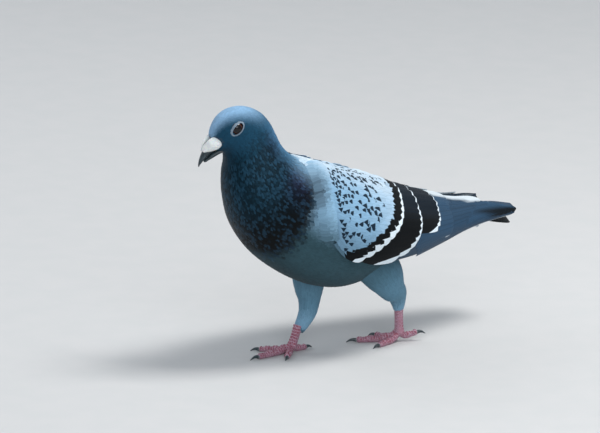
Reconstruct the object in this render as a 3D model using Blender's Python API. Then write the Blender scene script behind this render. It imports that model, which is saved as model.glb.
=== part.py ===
"""A walking homing pigeon, life size, as a still museum model.

The bird faces -Y, its left side is +X and +Z is up. It is built in millimetres from rails:
a dorsal and a ventral line down the middle of the body, an upper, a side and a lower line
round each folded wing, and a centre line for each leg, toe, claw and half of the bill.
At the end the whole bird is moved so that its box stands centred on the origin.
"""

import math

import bpy
import numpy as np
from mathutils import Vector
from mathutils.bvhtree import BVHTree

MM = 0.001
GAP = 0.32  # clearance between neighbouring pieces

# Body rails: forward and up of the dorsal point, forward and up of the ventral point,
# half width, and how much of the head's turn the section takes.
BODY_RAILS = (
    (-97, 101, -95, 86, 15, 0),
    (-78, 107, -70, 76, 24, 0),
    (-55, 115, -42, 63.5, 32, 0),
    (-28, 125, -15, 53, 37.5, 0),
    (0, 136, 11, 49, 40, 0),
    (22, 145.5, 37, 54.5, 40.5, 0),
    (38, 151.5, 62, 67, 40, 0),
    (50, 155.8, 86, 85, 37.5, 0),
    (59, 159.8, 103, 107, 33, 0.05),
    (64.5, 164.5, 110.5, 129, 27.5, 0.2),
    (68, 170, 111.6, 146, 23, 0.45),
    (70.8, 177.5, 109.6, 157, 19.5, 0.7),
    (74.4, 185.2, 109.6, 162.6, 17.2, 0.9),
    (81.2, 192.8, 110.2, 164.4, 16.2, 1),
    (92, 197.5, 111.2, 165.1, 15.6, 1),
    (103, 197.3, 112, 165.3, 14.4, 1),
    (112, 193, 113, 165.2, 12.2, 1),
    (117.7, 185.8, 114, 165, 9, 1),
    (120.8, 178.4, 115, 165.2, 5.6, 1),
)
NECK_FROM, HEAD_FROM = 7.0, 11.6  # stations where the neck and the head begin
BODY_SQUARENESS = 2.15  # 2 is an ellipse
BODY_EGG = 0.08  # how much wider a section is above than below
HEAD_TURN = math.radians(20)  # to the bird's right
TURN_PIVOT = 72  # forward of the upright axis that the head turns on
BODY_RINGS_PER_STATION, BODY_SIDES = 2, 26

EYE_FORWARD, EYE_UP, EYE_SIDE, EYE_RADIUS = 103, 184.6, 10.6, 5.4

# Bill: forward and up of the ridge, forward and up of the lower edge, half width.
UPPER_BILL = (
    (114, 173, 111.8, 168.3, 4.2),
    (119.5, 172, 116.4, 166.4, 4.4),
    (123.6, 169, 120.3, 163.9, 3.8),
    (126.2, 165.2, 123.4, 161.2, 3.0),
    (128, 161, 125.8, 158.6, 2.2),
    (129, 157.3, 127.7, 156.4, 1.4),
    (129.1, 154.8, 128.6, 154.8, 0.6),
)
LOWER_BILL = (
    (111.2, 167.6, 109.8, 164.4, 3.6),
    (115.6, 165.9, 114.1, 162.7, 3.7),
    (119.6, 163.3, 118.3, 160.5, 3.1),
    (122.7, 160.6, 121.7, 158.6, 2.4),
    (125.2, 158.1, 124.6, 156.8, 1.6),
    (126.9, 156.3, 126.7, 155.7, 0.8),
)
CERE_FORWARD, CERE_UP, CERE_SIDE = 119, 171.6, 2.8  # middle of the left pad
CERE_LENGTH, CERE_HEIGHT, CERE_WIDTH = 17, 9.4, 7
CERE_PITCH = math.radians(-27)

# Wing rails: forward, side and up of the upper edge, of the flank line and of the lower edge.
WING_RAILS = (
    (47, 17, 151.5, 48, 38.5, 127, 44, 38.5, 98),
    (32, 16, 148.5, 34, 44.5, 120, 31, 43, 83),
    (12, 15, 141.5, 12, 46.5, 112, 10, 44, 75),
    (-16, 14, 131, -16, 45, 103, -13, 43, 72.5),
    (-44, 13, 118.5, -44, 41, 96.5, -42, 40, 73.5),
    (-68, 12, 108.5, -68, 35, 92, -69, 35, 76.5),
    (-90, 12, 101.8, -91, 29, 90, -92, 30, 80),
    (-112, 14, 98, -113, 25, 90, -113, 26.5, 82),
    (-132, 17, 95.4, -133, 23.5, 89.2, -132, 24.5, 82.8),
    (-147, 20, 92, -149, 23, 88, -148, 24, 84.2),
)
WING_THICK_FRONT, WING_THICK_TIP = 12, 1.2
WING_THICK_LEAST, WING_CLEARANCE = 0.8, 1.1
HAND_FROM = 5.5  # station where the long hand feathers leave the wing shield
WING_RINGS_PER_STATION, WING_STEPS = 2, 9

# Tail: forward and up of the middle of its upper face, half width, drop of the edges, thickness.
TAIL_RAILS = (
    (-80, 99, 10, 4, 7),
    (-100, 97.5, 13, 7, 6),
    (-120, 91.5, 16.5, 10, 4),
    (-138, 86.8, 18.5, 10, 2.6),
    (-149, 83, 18, 7.5, 1.8),
    (-155, 79.8, 12.5, 4, 1.3),
)

# Legs: side (positive is outwards), forward and up of each joint, and the radii fore-and-aft and across.
LEFT_THIGH = ((18, -9, 72, 19, 12), (19, -22, 56, 16, 12.5), (18, -30, 45, 11.5, 10),
              (16.5, -36, 39, 9, 7.9), (15, -39.3, 32, 6.2, 5.8), (14.4, -40.4, 25.5, 4.1, 4))
RIGHT_THIGH = ((17, 21, 78, 20, 14), (17, 21, 60, 15, 13), (17, 21, 45, 11.5, 10.5),
               (16, 21.8, 36, 8.6, 8.2), (14.6, 25, 27.2, 7.2, 6.4), (13.8, 34, 15.5, 4.4, 4.2))
LEFT_HUB = (13.6, -41.5, 7.4)  # side, forward and up of the middle of the foot
RIGHT_HUB = (13.6, 41, 4.4)
SHANK_RADIUS, HUB_RADIUS, HUB_TOP = 2.9, 4.3, 6.4

TOE_NAMES = ("hallux", "inner_toe", "middle_toe", "outer_toe")
TOE_LENGTHS = (13.5, 21, 32, 24)  # without the claw
TOE_SPREADS = (180, 41, 0, -44)  # degrees from the middle toe towards the body's midline
TOE_RADII = (2.3, 2.3, 2.5, 2.3)
TOE_PADS = (2, 2, 3, 4)  # swellings under each toe
CLAW_LENGTHS = (6.5, 6.5, 8, 6.8)
LEFT_FOOT_TURN, RIGHT_FOOT_TURN = 33, 0  # degrees inwards from the heading
LEFT_HALLUX_RISE = 5  # the hind toe of the foot that pushes off is off the ground
SOLE_FLAT = 0.35  # how much of each pad is cut off by the ground
TOE_START = 0.5  # from the middle of the foot
TOE_ROOT_RISE = 2.1  # how much higher a toe is where it leaves the foot
TOE_TAPER, TOE_SWELL = 0.22, 0.07  # shares of the toe's radius
CLAW_RADIUS, CLAW_TIP_RADIUS, CLAW_ARCH = 1.45, 0.28, 0.9
KNEE_CLEARANCE = 0.5  # between the feathered leg and the bare shank
BILL_SIDES, THIGH_SIDES, SHANK_SIDES, HUB_SIDES, TOE_SIDES, CLAW_SIDES = 14, 14, 10, 12, 8, 7
TAIL_POINTS = 11  # across each face of a tail section
SHARP_EDGE = math.radians(40)


def spline(table, at):
    """Rows of a table read at fractional row numbers, on one smooth Catmull-Rom curve."""
    rows = np.asarray(table, float)
    padded = np.vstack([2 * rows[0] - rows[1], rows, 2 * rows[-1] - rows[-2]])
    at = np.clip(np.asarray(at, float), 0, len(rows) - 1)
    i = np.minimum(at.astype(int), len(rows) - 2)
    f = (at - i)[:, None]
    before, start, end, after = (padded[i + k] for k in range(4))
    return 0.5 * (2 * start + (end - before) * f
                  + (2 * before - 5 * start + 4 * end - after) * f**2
                  + (3 * start - before - 3 * end + after) * f**3)


def material(name, colour, roughness, metallic=0.0):
    """A plain material with that name, made once."""
    made = bpy.data.materials.get(name) or bpy.data.materials.new(name)
    made.use_nodes = True
    shader = made.node_tree.nodes["Principled BSDF"]
    shader.inputs["Base Color"].default_value = (*colour, 1)
    shader.inputs["Roughness"].default_value = roughness
    shader.inputs["Metallic"].default_value = metallic
    return made


def add_object(name, points, faces, look, hidden=False):
    """An object from points in millimetres."""
    mesh = bpy.data.meshes.new(name)
    mesh.from_pydata([tuple(p) for p in np.asarray(points) * MM], [], faces)
    mesh.update()
    mesh.shade_smooth()
    mesh.set_sharp_from_angle(angle=SHARP_EDGE)
    mesh.materials.append(look)
    made = bpy.data.objects.new(name, mesh)
    bpy.context.scene.collection.objects.link(made)
    if hidden:
        made.hide_render = True
        made.display_type = "WIRE"
    return made


def loft_mesh(rings, thin=False):
    """Points and outward faces of a closed solid through rings of points.

    The two halves of a ring are split into triangles as mirror images of each other.
    Each end is one flat face or, on a thin shell whose rings run along its outer face and back
    along its inner one, a strip of faces across the thickness.
    """
    rings = np.asarray(rings)
    count, sides = rings.shape[:2]
    ends = [list(range(sides))]
    if thin:
        half = range(sides // 2 - 1)
        ends = [[i, i + 1, sides - 2 - i] for i in half] + [[i, sides - 2 - i, sides - 1 - i] for i in half]
    faces = [face[::-1] for face in ends]
    faces += [[(count - 1) * sides + i for i in face] for face in ends]
    for r in range(count - 1):
        for s in range(sides):
            t = (s + 1) % sides
            a, b, c, d = r * sides + s, r * sides + t, (r + 1) * sides + t, (r + 1) * sides + s
            faces += [[a, b, c], [a, c, d]] if 2 * s < sides else [[a, b, d], [b, c, d]]
    first = rings[0] - rings[0].mean(0)
    lengthwise = rings[1].mean(0) - rings[0].mean(0)
    if np.dot(np.cross(first, np.roll(first, -1, 0)).sum(0), lengthwise) < 0:
        faces = [face[::-1] for face in faces]
    return rings.reshape(-1, 3), faces


def loft(name, rings, look, hidden=False, thin=False):
    """An object that is a closed solid through rings of points."""
    return add_object(name, *loft_mesh(rings, thin), look, hidden)


def solid_of(rings, thin=False):
    """A loft's surface as a search tree, for keeping other pieces clear of it."""
    points, faces = loft_mesh(rings, thin)
    return BVHTree.FromPolygons(points.tolist(), faces)


def cut(target, *cutters):
    """Takes the cutters' space out of the target."""
    for cutter in cutters:
        boolean = target.modifiers.new("less_" + cutter.name, "BOOLEAN")
        boolean.operation = "DIFFERENCE"
        boolean.solver = "EXACT"
        boolean.object = cutter


def join(target, *others):
    """Adds the others' space to the target."""
    for other in others:
        boolean = target.modifiers.new("with_" + other.name, "BOOLEAN")
        boolean.operation = "UNION"
        boolean.solver = "EXACT"
        boolean.object = other


def turned(points, share):
    """Points of the neck and head, turned to the bird's right by a share of the head's turn."""
    angle = HEAD_TURN * np.asarray(share, float)
    sine, cosine = np.sin(angle), np.cos(angle)
    side, forward = points[..., 0], -points[..., 1] - TURN_PIVOT
    turned_side = side * cosine - forward * sine
    turned_forward = side * sine + forward * cosine
    return np.stack([turned_side, -(turned_forward + TURN_PIVOT), points[..., 2]], axis=-1)


def body_rings(start, end, grow=0.0):
    """Body sections from one station to another, each in its own plane, grown by a margin."""
    count = int(round((end - start) * BODY_RINGS_PER_STATION)) + 1
    rails = spline(BODY_RAILS, np.linspace(start, end, count))
    angle = np.linspace(0, 2 * math.pi, BODY_SIDES, endpoint=False)
    across, along = np.sin(angle), np.cos(angle)
    power = 2 / BODY_SQUARENESS
    across = np.sign(across) * np.abs(across) ** power
    along = np.sign(along) * np.abs(along) ** power
    rings = []
    for dorsal_f, dorsal_u, ventral_f, ventral_u, width, turn in rails:
        middle = np.array([(dorsal_f + ventral_f) / 2, (dorsal_u + ventral_u) / 2])
        reach = np.array([dorsal_f, dorsal_u]) - middle
        reach *= 1 + grow / np.linalg.norm(reach)
        forward = middle[0] + along * reach[0]
        up = middle[1] + along * reach[1]
        wide = across * (1 + BODY_EGG * along) * (width + grow)
        ring = np.stack([wide, -forward, up], axis=1)
        rings.append(turned(ring, turn))
    return np.array(rings)


def body_piece(name, start, end, look):
    """A length of the body with flat ends, set back by half a gap from the cuts inside it."""
    rings = body_rings(start, end)
    last = len(BODY_RAILS) - 1
    for index, side, station in ((0, 1, start), (-1, -1, end)):
        if 0 < station < last:
            ring = rings[index] - rings[index].mean(0)
            normal = np.cross(ring, np.roll(ring, -1, 0)).sum(0)
            normal /= np.linalg.norm(normal)
            inward = rings[1 if index == 0 else -2].mean(0) - rings[index].mean(0)
            rings[index] += np.sign(np.dot(normal, inward)) * normal * GAP / 2
    return loft(name, rings, look)


def grown_body(name, start, end, look):
    """A length of the body grown by the gap, for trimming what lies against it."""
    return loft(name, body_rings(start, end, GAP), look, hidden=True)


def ellipse_rings(centres, axes_a, axes_b, sides):
    """Rings of ellipses from their centres and their two half-axis vectors."""
    angle = np.linspace(0, 2 * math.pi, sides, endpoint=False)
    cosine, sine = np.cos(angle)[None, :, None], np.sin(angle)[None, :, None]
    return centres[:, None] + cosine * axes_a[:, None] + sine * axes_b[:, None]


def bill_half(name, rails, look, grow=0.0, hidden=False):
    """One mandible: ellipses between a ridge line and an edge line, turned with the head."""
    rows = spline(rails, np.linspace(0, len(rails) - 1, 2 * len(rails) - 1))
    top = np.stack([0 * rows[:, 0], -rows[:, 0], rows[:, 1]], axis=1)
    low = np.stack([0 * rows[:, 0], -rows[:, 2], rows[:, 3]], axis=1)
    reach = (top - low) / 2
    reach *= 1 + grow / np.linalg.norm(reach, axis=1, keepdims=True)
    across = np.zeros_like(reach)
    across[:, 0] = rows[:, 4] + grow
    rings = ellipse_rings((top + low) / 2, reach, across, BILL_SIDES)
    return loft(name, turned(rings, 1), look, hidden)


def ball(name, centre, radii, look, pitch=0.0, grow=0.0, rows=8, sides=12, hidden=False):
    """An ellipsoid of stacked rings, with its poles along its length, turned with the head."""
    lat = np.linspace(0, math.pi, rows + 1)
    lat[0], lat[-1] = 0.12, math.pi - 0.12
    length, height, width = (r + grow for r in radii)
    angle = np.linspace(0, 2 * math.pi, sides, endpoint=False)
    across = np.sin(lat)[:, None] * np.sin(angle) * width
    tall = np.sin(lat)[:, None] * np.cos(angle) * height
    along = np.cos(lat)[:, None] * length * np.ones(sides)
    forward = along * math.cos(pitch) - tall * math.sin(pitch)
    up = along * math.sin(pitch) + tall * math.cos(pitch)
    side, fore, high = centre
    rings = np.stack([side + across, -(fore + forward), high + up], axis=-1)
    return loft(name, turned(rings, 1), look, hidden)


def wing_surface(station, t):
    """Outer face of the left wing: t runs from 0 at its upper edge to 1 at its lower edge."""
    rows = spline(WING_RAILS, station).reshape(-1, 3, 3)
    top, flank, low = (rows[:, None, k] for k in range(3))
    t = np.asarray(t)[None, :, None]
    curve = top * (1 - t) * (1 - 2 * t) + flank * 4 * t * (1 - t) + low * t * (2 * t - 1)
    return np.stack([curve[..., 1], -curve[..., 0], curve[..., 2]], axis=-1)


def away_from(points, solids, margin):
    """Points moved out until each is at least a margin outside every solid that is near it.

    Each solid comes with its reach, the farthest that a point can be inside it.
    """
    moved = points.reshape(-1, 3).copy()
    for i, point in enumerate(moved):
        for solid, reach in solids:
            near, normal, _, distance = solid.find_nearest(Vector(point))
            depth = (Vector(point) - near).dot(normal)
            if depth < margin and distance < margin + reach:
                point = np.array(Vector(point) + normal * (margin - depth))
        moved[i] = point
    return moved.reshape(points.shape)


def wing_rings(solids):
    """Sections of the left wing: its outer face, and an inner face that lies on the body."""
    last = len(WING_RAILS) - 1
    stations = np.linspace(0, last, last * WING_RINGS_PER_STATION + 1)
    steps = np.linspace(0, 1, WING_STEPS)
    outer = away_from(wing_surface(stations, steps), solids, WING_CLEARANCE + WING_THICK_LEAST)
    normal = np.cross(np.gradient(outer, axis=0), np.gradient(outer, axis=1))
    normal /= np.linalg.norm(normal, axis=2, keepdims=True)
    normal *= np.sign(normal[:, WING_STEPS // 2, 0])[:, None, None]
    thick = WING_THICK_TIP + (WING_THICK_FRONT - WING_THICK_TIP) * np.clip(
        1 - 1.5 * stations / last, 0, 1) ** 0.8
    thick *= np.clip(0.15 + stations / 2, 0, 1)
    edge = 0.3 + 0.7 * np.sin(math.pi * steps) ** 0.5
    inner = away_from(outer - normal * (thick[:, None] * edge)[..., None], solids, WING_CLEARANCE)
    return np.concatenate([outer, inner[:, ::-1]], axis=1)


def wings(solids, shield_look, hand_look):
    """Both wings, each parted across into the shield of coverts and the long hand feathers."""
    rings = wing_rings(solids)
    split = int(HAND_FROM * WING_RINGS_PER_STATION)
    parts = (("wing", rings[:split + 1].copy(), -1, -GAP / 2, shield_look),
             ("primaries", rings[split:].copy(), 0, GAP / 2, hand_look))
    for name, part, end, step, look in parts:
        part[end, :, 1] += step
        loft("left_" + name, part, look, thin=True)
        loft("right_" + name, part * [-1, 1, 1], look, thin=True)


def tail_rings():
    """Arched sections of the closed tail."""
    rows = spline(TAIL_RAILS, np.linspace(0, len(TAIL_RAILS) - 1, 2 * len(TAIL_RAILS) - 1))
    share = np.linspace(-1, 1, TAIL_POINTS)
    rings = []
    for forward, up, width, drop, thick in rows:
        side = share * width
        high = up - drop * np.abs(share) ** 1.7
        upper = np.stack([side, np.full(TAIL_POINTS, -forward), high], axis=1)
        lower = np.stack([side, np.full(TAIL_POINTS, -forward), high - thick], axis=1)
        rings.append(np.concatenate([upper, lower[::-1]]))
    return np.array(rings)


def thigh(name, rails, side, look):
    """The feathered leg, down to where the scaly shank comes out of it."""
    rows = spline(rails, np.linspace(0, len(rails) - 1, 2 * len(rails) - 1))
    centres = np.stack([side * rows[:, 0], -rows[:, 1], rows[:, 2]], axis=1)
    run = np.gradient(centres, axis=0)
    run /= np.linalg.norm(run, axis=1, keepdims=True)
    fore = np.cross(run, np.array([[side, 0, 0.0]]))
    fore /= np.linalg.norm(fore, axis=1, keepdims=True)
    across = np.cross(fore, run)
    rings = ellipse_rings(centres, fore * rows[:, 3:4], across * rows[:, 4:5], THIGH_SIDES)
    return loft(name, rings, look)


def tube(name, points, radii, look, sides=TOE_SIDES, flat=0.0, hidden=False):
    """A round tube through points, never lower than the flat level."""
    points = np.asarray(points, float)
    run = np.gradient(points, axis=0)
    run /= np.linalg.norm(run, axis=1, keepdims=True)
    across = np.cross(run, [[0, 0, 1.0]])
    short = np.linalg.norm(across, axis=1) < 0.05
    across[short] = np.array([1.0, 0, 0])
    across /= np.linalg.norm(across, axis=1, keepdims=True)
    tall = np.cross(across, run)
    radii = np.asarray(radii, float)[:, None]
    rings = ellipse_rings(points, across * radii, tall * radii, sides)
    rings[..., 2] = np.maximum(rings[..., 2], flat)
    return loft(name, rings, look, hidden)


def toe_path(hub, side, heading, length, radius, tip_rise):
    """Centre line of a toe from near the hub outwards, coming down to the ground."""
    direction = np.array([math.sin(heading) * side * -1, -math.cos(heading), 0])
    along = np.linspace(TOE_START, length, 9)
    share = along / length
    root_rise = hub[2] - HUB_RADIUS + TOE_ROOT_RISE
    height = radius - SOLE_FLAT + root_rise * np.clip(1 - share * 1.9, 0, 1) ** 2 + tip_rise * share
    base = np.array([side * hub[0], -hub[1], 0])
    points = base + direction * along[:, None]
    points[:, 2] = height
    return points, share, direction


def toe(name, hub, side, heading, index, look, tip_rise, grow=0.0, hidden=False):
    """One toe, flat where its pads touch the ground."""
    length, radius = TOE_LENGTHS[index], TOE_RADII[index]
    points, share, _ = toe_path(hub, side, heading, length, radius, tip_rise)
    swell = 1 + TOE_SWELL * np.cos(2 * math.pi * share * TOE_PADS[index])
    radii = radius * swell * (1 - TOE_TAPER * share)
    points[:, 2] -= radius - radii
    return tube(name, points, radii + grow, look, flat=-grow if hidden else 0.0, hidden=hidden)


def claw(name, hub, side, heading, index, look, tip_rise):
    """A claw that leaves the end of its toe and curves down."""
    length, radius = TOE_LENGTHS[index], TOE_RADII[index]
    points, _, direction = toe_path(hub, side, heading, length, radius, tip_rise)
    tip_radius = radius * (1 - TOE_TAPER) * (1 + TOE_SWELL)
    share = np.linspace(0, 1, 7)
    start = points[-1] + direction * 2 * GAP
    path = start + direction * (CLAW_LENGTHS[index] * share)[:, None]
    arch = CLAW_ARCH * np.sin(math.pi * share)
    fall = (tip_radius - 0.8) * share**1.6
    path[:, 2] = tip_rise + tip_radius - SOLE_FLAT + arch - fall
    radii = CLAW_RADIUS * (1 - share) ** 0.8 + CLAW_TIP_RADIUS
    return tube(name, path, radii, look, sides=CLAW_SIDES)


def hub_solid(name, foot, look, grow=0.0):
    """The round pad that the toes come out of, used to shape the shank and to trim the toes."""
    lift = foot[2] - RIGHT_HUB[2]
    path = np.tile(foot, (6, 1))
    path[:, 2] = np.linspace(HUB_TOP + grow, -grow, 6) + lift
    radii = HUB_RADIUS * np.array([0.55, 0.86, 0.98, 1.0, 0.97, 0.9])
    return tube(name, path, radii + grow, look, sides=HUB_SIDES, flat=-1 if grow else 0, hidden=True)


def leg(word, side, thigh_rails, hub, foot_turn, hallux_rise, looks):
    """Thigh, shank with its foot hub, four toes and four claws."""
    feathered = thigh(word + "_thigh", thigh_rails, side, looks["flank"])
    last = np.array(thigh_rails[-1][:3])
    knee = np.array([side * last[0], -last[1], last[2]])
    foot = np.array([side * hub[0], -hub[1], hub[2]])
    run = (foot - knee) / np.linalg.norm(foot - knee)
    share = np.linspace(0, 1, 9)[:, None]
    top = knee + run * KNEE_CLEARANCE
    path = top + (foot - top) * share
    radii = SHANK_RADIUS * (1 + 0.12 * (2 * share[:, 0] - 1) ** 2)
    shank = tube(word + "_shank", path, radii, looks["scales"], sides=SHANK_SIDES)
    pad = hub_solid(word + "_hub", foot, looks["scales"])
    wide_hub = hub_solid(word + "_hub_wide", foot, looks["scales"], GAP)
    wide_shank = tube(word + "_shank_wide", path, radii + GAP, looks["scales"], sides=HUB_SIDES,
                      hidden=True)
    join(shank, pad)
    done = []
    for index in (2, 1, 3, 0):
        heading = math.radians(TOE_SPREADS[index] + foot_turn)
        name = f"{word}_{TOE_NAMES[index]}"
        tip_rise = hallux_rise if index == 0 else 0
        made = toe(name, hub, side, heading, index, looks["scales"], tip_rise)
        cut(made, wide_hub, wide_shank, *done)
        claw(name + "_claw", hub, side, heading, index, looks["claw"], tip_rise)
        if index == 2:
            done.append(toe(name + "_wide", hub, side, heading, index, looks["claw"], tip_rise, GAP, True))
    return feathered


def stand_on_origin():
    """Moves the whole bird so that the middle of the bottom of its box is the origin."""
    shown = [item for item in bpy.data.objects if not item.hide_render]
    corners = np.array([corner for item in shown for corner in item.bound_box])
    low, high = corners.min(0), corners.max(0)
    shift = Vector((-(low[0] + high[0]) / 2, -(low[1] + high[1]) / 2, -low[2]))
    for item in bpy.data.objects:
        item.location += shift


def main():
    for item in list(bpy.data.objects):
        bpy.data.objects.remove(item)
    looks = {
        "slate": material("slate_plumage", (0.17, 0.26, 0.36), 0.6),
        "neck": material("neck_plumage", (0.02, 0.05, 0.07), 0.4),
        "body": material("body_plumage", (0.22, 0.31, 0.40), 0.6),
        "wing": material("wing_plumage", (0.55, 0.62, 0.70), 0.6),
        "flight": material("flight_plumage", (0.12, 0.16, 0.21), 0.5),
        "flank": material("thigh_plumage", (0.24, 0.33, 0.42), 0.6),
        "bill": material("bill_horn", (0.04, 0.05, 0.07), 0.3),
        "cere": material("cere_skin", (0.80, 0.80, 0.78), 0.7),
        "eye": material("eye_glass", (0.10, 0.02, 0.01), 0.05),
        "scales": material("leg_scales", (0.45, 0.10, 0.12), 0.5),
        "claw": material("claw_horn", (0.03, 0.03, 0.03), 0.35),
    }
    last = len(BODY_RAILS) - 1
    trunk = body_piece("trunk", 0, NECK_FROM, looks["body"])
    body_piece("neck", NECK_FROM, HEAD_FROM, looks["neck"])
    head = body_piece("head", HEAD_FROM, last, looks["slate"])
    around_trunk = grown_body("trunk_wide", 0, NECK_FROM, looks["body"])
    around_head = grown_body("head_wide", HEAD_FROM, last, looks["slate"])

    upper = bill_half("upper_bill", UPPER_BILL, looks["bill"])
    lower = bill_half("lower_bill", LOWER_BILL, looks["bill"])
    around_upper = bill_half("upper_bill_wide", UPPER_BILL, looks["bill"], GAP, True)
    cut(upper, around_head)
    cut(lower, around_head, around_upper)
    radii = (CERE_LENGTH / 2, CERE_HEIGHT / 2, CERE_WIDTH / 2)
    for word, side in (("left", 1), ("right", -1)):
        pad = ball(word + "_cere", (side * (CERE_SIDE + GAP), CERE_FORWARD, CERE_UP), radii,
                   looks["cere"], CERE_PITCH)
        cut(pad, around_head, around_upper)
        if side < 0:
            wide = ball("left_cere_wide", (CERE_SIDE + GAP, CERE_FORWARD, CERE_UP), radii,
                        looks["cere"], CERE_PITCH, GAP, hidden=True)
            cut(pad, wide)
        centre = (side * EYE_SIDE, EYE_FORWARD, EYE_UP)
        eye = (EYE_RADIUS,) * 3
        ball(word + "_eye", centre, eye, looks["eye"])
        socket = ball(word + "_socket", centre, eye, looks["eye"], grow=GAP, hidden=True)
        cut(head, socket)

    tail = loft("tail", tail_rings(), looks["flight"], thin=True)
    cut(tail, around_trunk)
    solids = [(solid_of(body_rings(0, HEAD_FROM - 2)), WING_THICK_FRONT),
              (solid_of(tail_rings(), thin=True), WING_THICK_TIP)]
    wings(solids, looks["wing"], looks["flight"])

    left = leg("left", 1, LEFT_THIGH, LEFT_HUB, LEFT_FOOT_TURN, LEFT_HALLUX_RISE, looks)
    right = leg("right", -1, RIGHT_THIGH, RIGHT_HUB, RIGHT_FOOT_TURN, 0, looks)
    cut(left, around_trunk)
    cut(right, around_trunk)
    stand_on_origin()


main()
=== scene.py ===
"""The looks of a life-size homing pigeon, a still museum model in mid-step.

The bird's own surfaces (body, wings, tail, thighs) are worked out again from the rails that shape the
solids, and closed, thin vanes lie over them from the bill to the tail, each one laid along the surface.
Lengths in the rails are millimetres: x to the bird's left, y backwards, z up.
"""

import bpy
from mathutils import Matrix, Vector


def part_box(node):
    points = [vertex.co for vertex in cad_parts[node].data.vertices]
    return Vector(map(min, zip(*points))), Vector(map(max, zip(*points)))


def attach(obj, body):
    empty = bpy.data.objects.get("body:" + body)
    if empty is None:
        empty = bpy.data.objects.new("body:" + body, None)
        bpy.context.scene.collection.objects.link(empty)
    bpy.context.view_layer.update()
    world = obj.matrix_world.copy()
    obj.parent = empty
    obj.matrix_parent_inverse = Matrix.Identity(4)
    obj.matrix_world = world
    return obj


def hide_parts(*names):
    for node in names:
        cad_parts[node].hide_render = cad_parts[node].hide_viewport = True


bl_info = {
    "name": "Homing Pigeon",
    "version": (1, 0, 0),
    "blender": (4, 5, 0),
    "location": "3D View > Sidebar > Pigeon",
    "description": "Skin, feathers, bill, eyes and feet of a life-size pigeon around its solid model",
    "category": "Object",
}

import math
from collections import namedtuple

import bpy
import numpy as np
from mathutils import Vector

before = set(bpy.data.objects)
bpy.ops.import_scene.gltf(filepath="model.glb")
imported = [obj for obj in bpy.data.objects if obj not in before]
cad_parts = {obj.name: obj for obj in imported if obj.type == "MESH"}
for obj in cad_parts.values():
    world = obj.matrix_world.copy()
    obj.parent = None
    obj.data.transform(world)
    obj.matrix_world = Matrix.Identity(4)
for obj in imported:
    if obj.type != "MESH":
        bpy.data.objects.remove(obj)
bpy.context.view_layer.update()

MM = 0.001
TAIL_END = 155  # how far behind the middle of the feet the tail ends
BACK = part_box("tail")[1].y - TAIL_END * MM  # from the rails' origin to the frame's

# ---------------------------------------------------------------------------------------------
# Rails: the same driving lines as the solids
# ---------------------------------------------------------------------------------------------
BODY_RAILS = (
    (-97, 101, -95, 86, 15, 0), (-78, 107, -70, 76, 24, 0), (-55, 115, -42, 63.5, 32, 0),
    (-28, 125, -15, 53, 37.5, 0), (0, 136, 11, 49, 40, 0), (22, 145.5, 37, 54.5, 40.5, 0),
    (38, 151.5, 62, 67, 40, 0), (50, 155.8, 86, 85, 37.5, 0), (59, 159.8, 103, 107, 33, 0.05),
    (64.5, 164.5, 110.5, 129, 27.5, 0.2), (68, 170, 111.6, 146, 23, 0.45),
    (70.8, 177.5, 109.6, 157, 19.5, 0.7), (74.4, 185.2, 109.6, 162.6, 17.2, 0.9),
    (81.2, 192.8, 110.2, 164.4, 16.2, 1), (92, 197.5, 111.2, 165.1, 15.6, 1),
    (103, 197.3, 112, 165.3, 14.4, 1), (112, 193, 113, 165.2, 12.2, 1),
    (117.7, 185.8, 114, 165, 9, 1), (120.8, 178.4, 115, 165.2, 5.6, 1),
)
BODY_LAST = len(BODY_RAILS) - 1
NECK_FROM, HEAD_FROM = 7.0, 11.6
BODY_SQUARENESS, BODY_EGG = 2.15, 0.08
HEAD_TURN, TURN_PIVOT = math.radians(20), 72

EYE_FORWARD, EYE_UP, EYE_SIDE, EYE_RADIUS = 103, 184.6, 10.6, 5.4

UPPER_BILL = (
    (114, 173, 111.8, 168.3, 4.2), (119.5, 172, 116.4, 166.4, 4.4), (123.6, 169, 120.3, 163.9, 3.8),
    (126.2, 165.2, 123.4, 161.2, 3.0), (128, 161, 125.8, 158.6, 2.2), (129, 157.3, 127.7, 156.4, 1.4),
    (129.1, 154.8, 128.6, 154.8, 0.6),
)
LOWER_BILL = (
    (111.2, 168.0, 109.8, 164.4, 3.6), (115.6, 166.6, 114.1, 162.7, 3.7), (119.4, 164.2, 118.3, 160.5, 3.1),
    (122.2, 161.6, 121.4, 158.9, 2.3), (123.9, 160.2, 123.2, 157.9, 1.6), (124.9, 159.3, 124.6, 157.9, 0.7),
)
CERE_FRONT, CERE_REAR = np.array([1.4, -126.2, 166.6]), np.array([8.6, -114.3, 174.9])
CERE_HEIGHT, CERE_WIDTH = 10.4, 7
CERE_PITCH, CERE_YAW = math.radians(33), math.radians(38)  # its slope down to the front, and to the side

WING_RAILS = (
    (47, 17, 151.5, 48, 38.5, 127, 44, 38.5, 98), (32, 16, 148.5, 34, 44.5, 120, 31, 43, 83),
    (12, 15, 141.5, 12, 46.5, 112, 10, 44, 75), (-16, 14, 131, -16, 45, 103, -13, 43, 72.5),
    (-44, 13, 118.5, -44, 41, 96.5, -42, 40, 73.5), (-68, 12, 108.5, -68, 35, 92, -69, 35, 76.5),
    (-90, 12, 101.8, -91, 29, 90, -92, 30, 80), (-112, 14, 98, -113, 25, 90, -113, 26.5, 82),
    (-132, 17, 95.4, -133, 23.5, 89.2, -132, 24.5, 82.8), (-147, 20, 92, -149, 23, 88, -148, 24, 84.2),
)
WING_LAST = len(WING_RAILS) - 1
WING_OFF_BODY = 1.9  # least distance of a wing's outer face from the body
WING_THICK_FRONT, WING_THICK_TIP = 12, 1.2
LINING_DEPTH, LINING_OFF_BODY = 0.75, 1.15  # of the wing's lining below its face, and clear of the body

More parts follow.
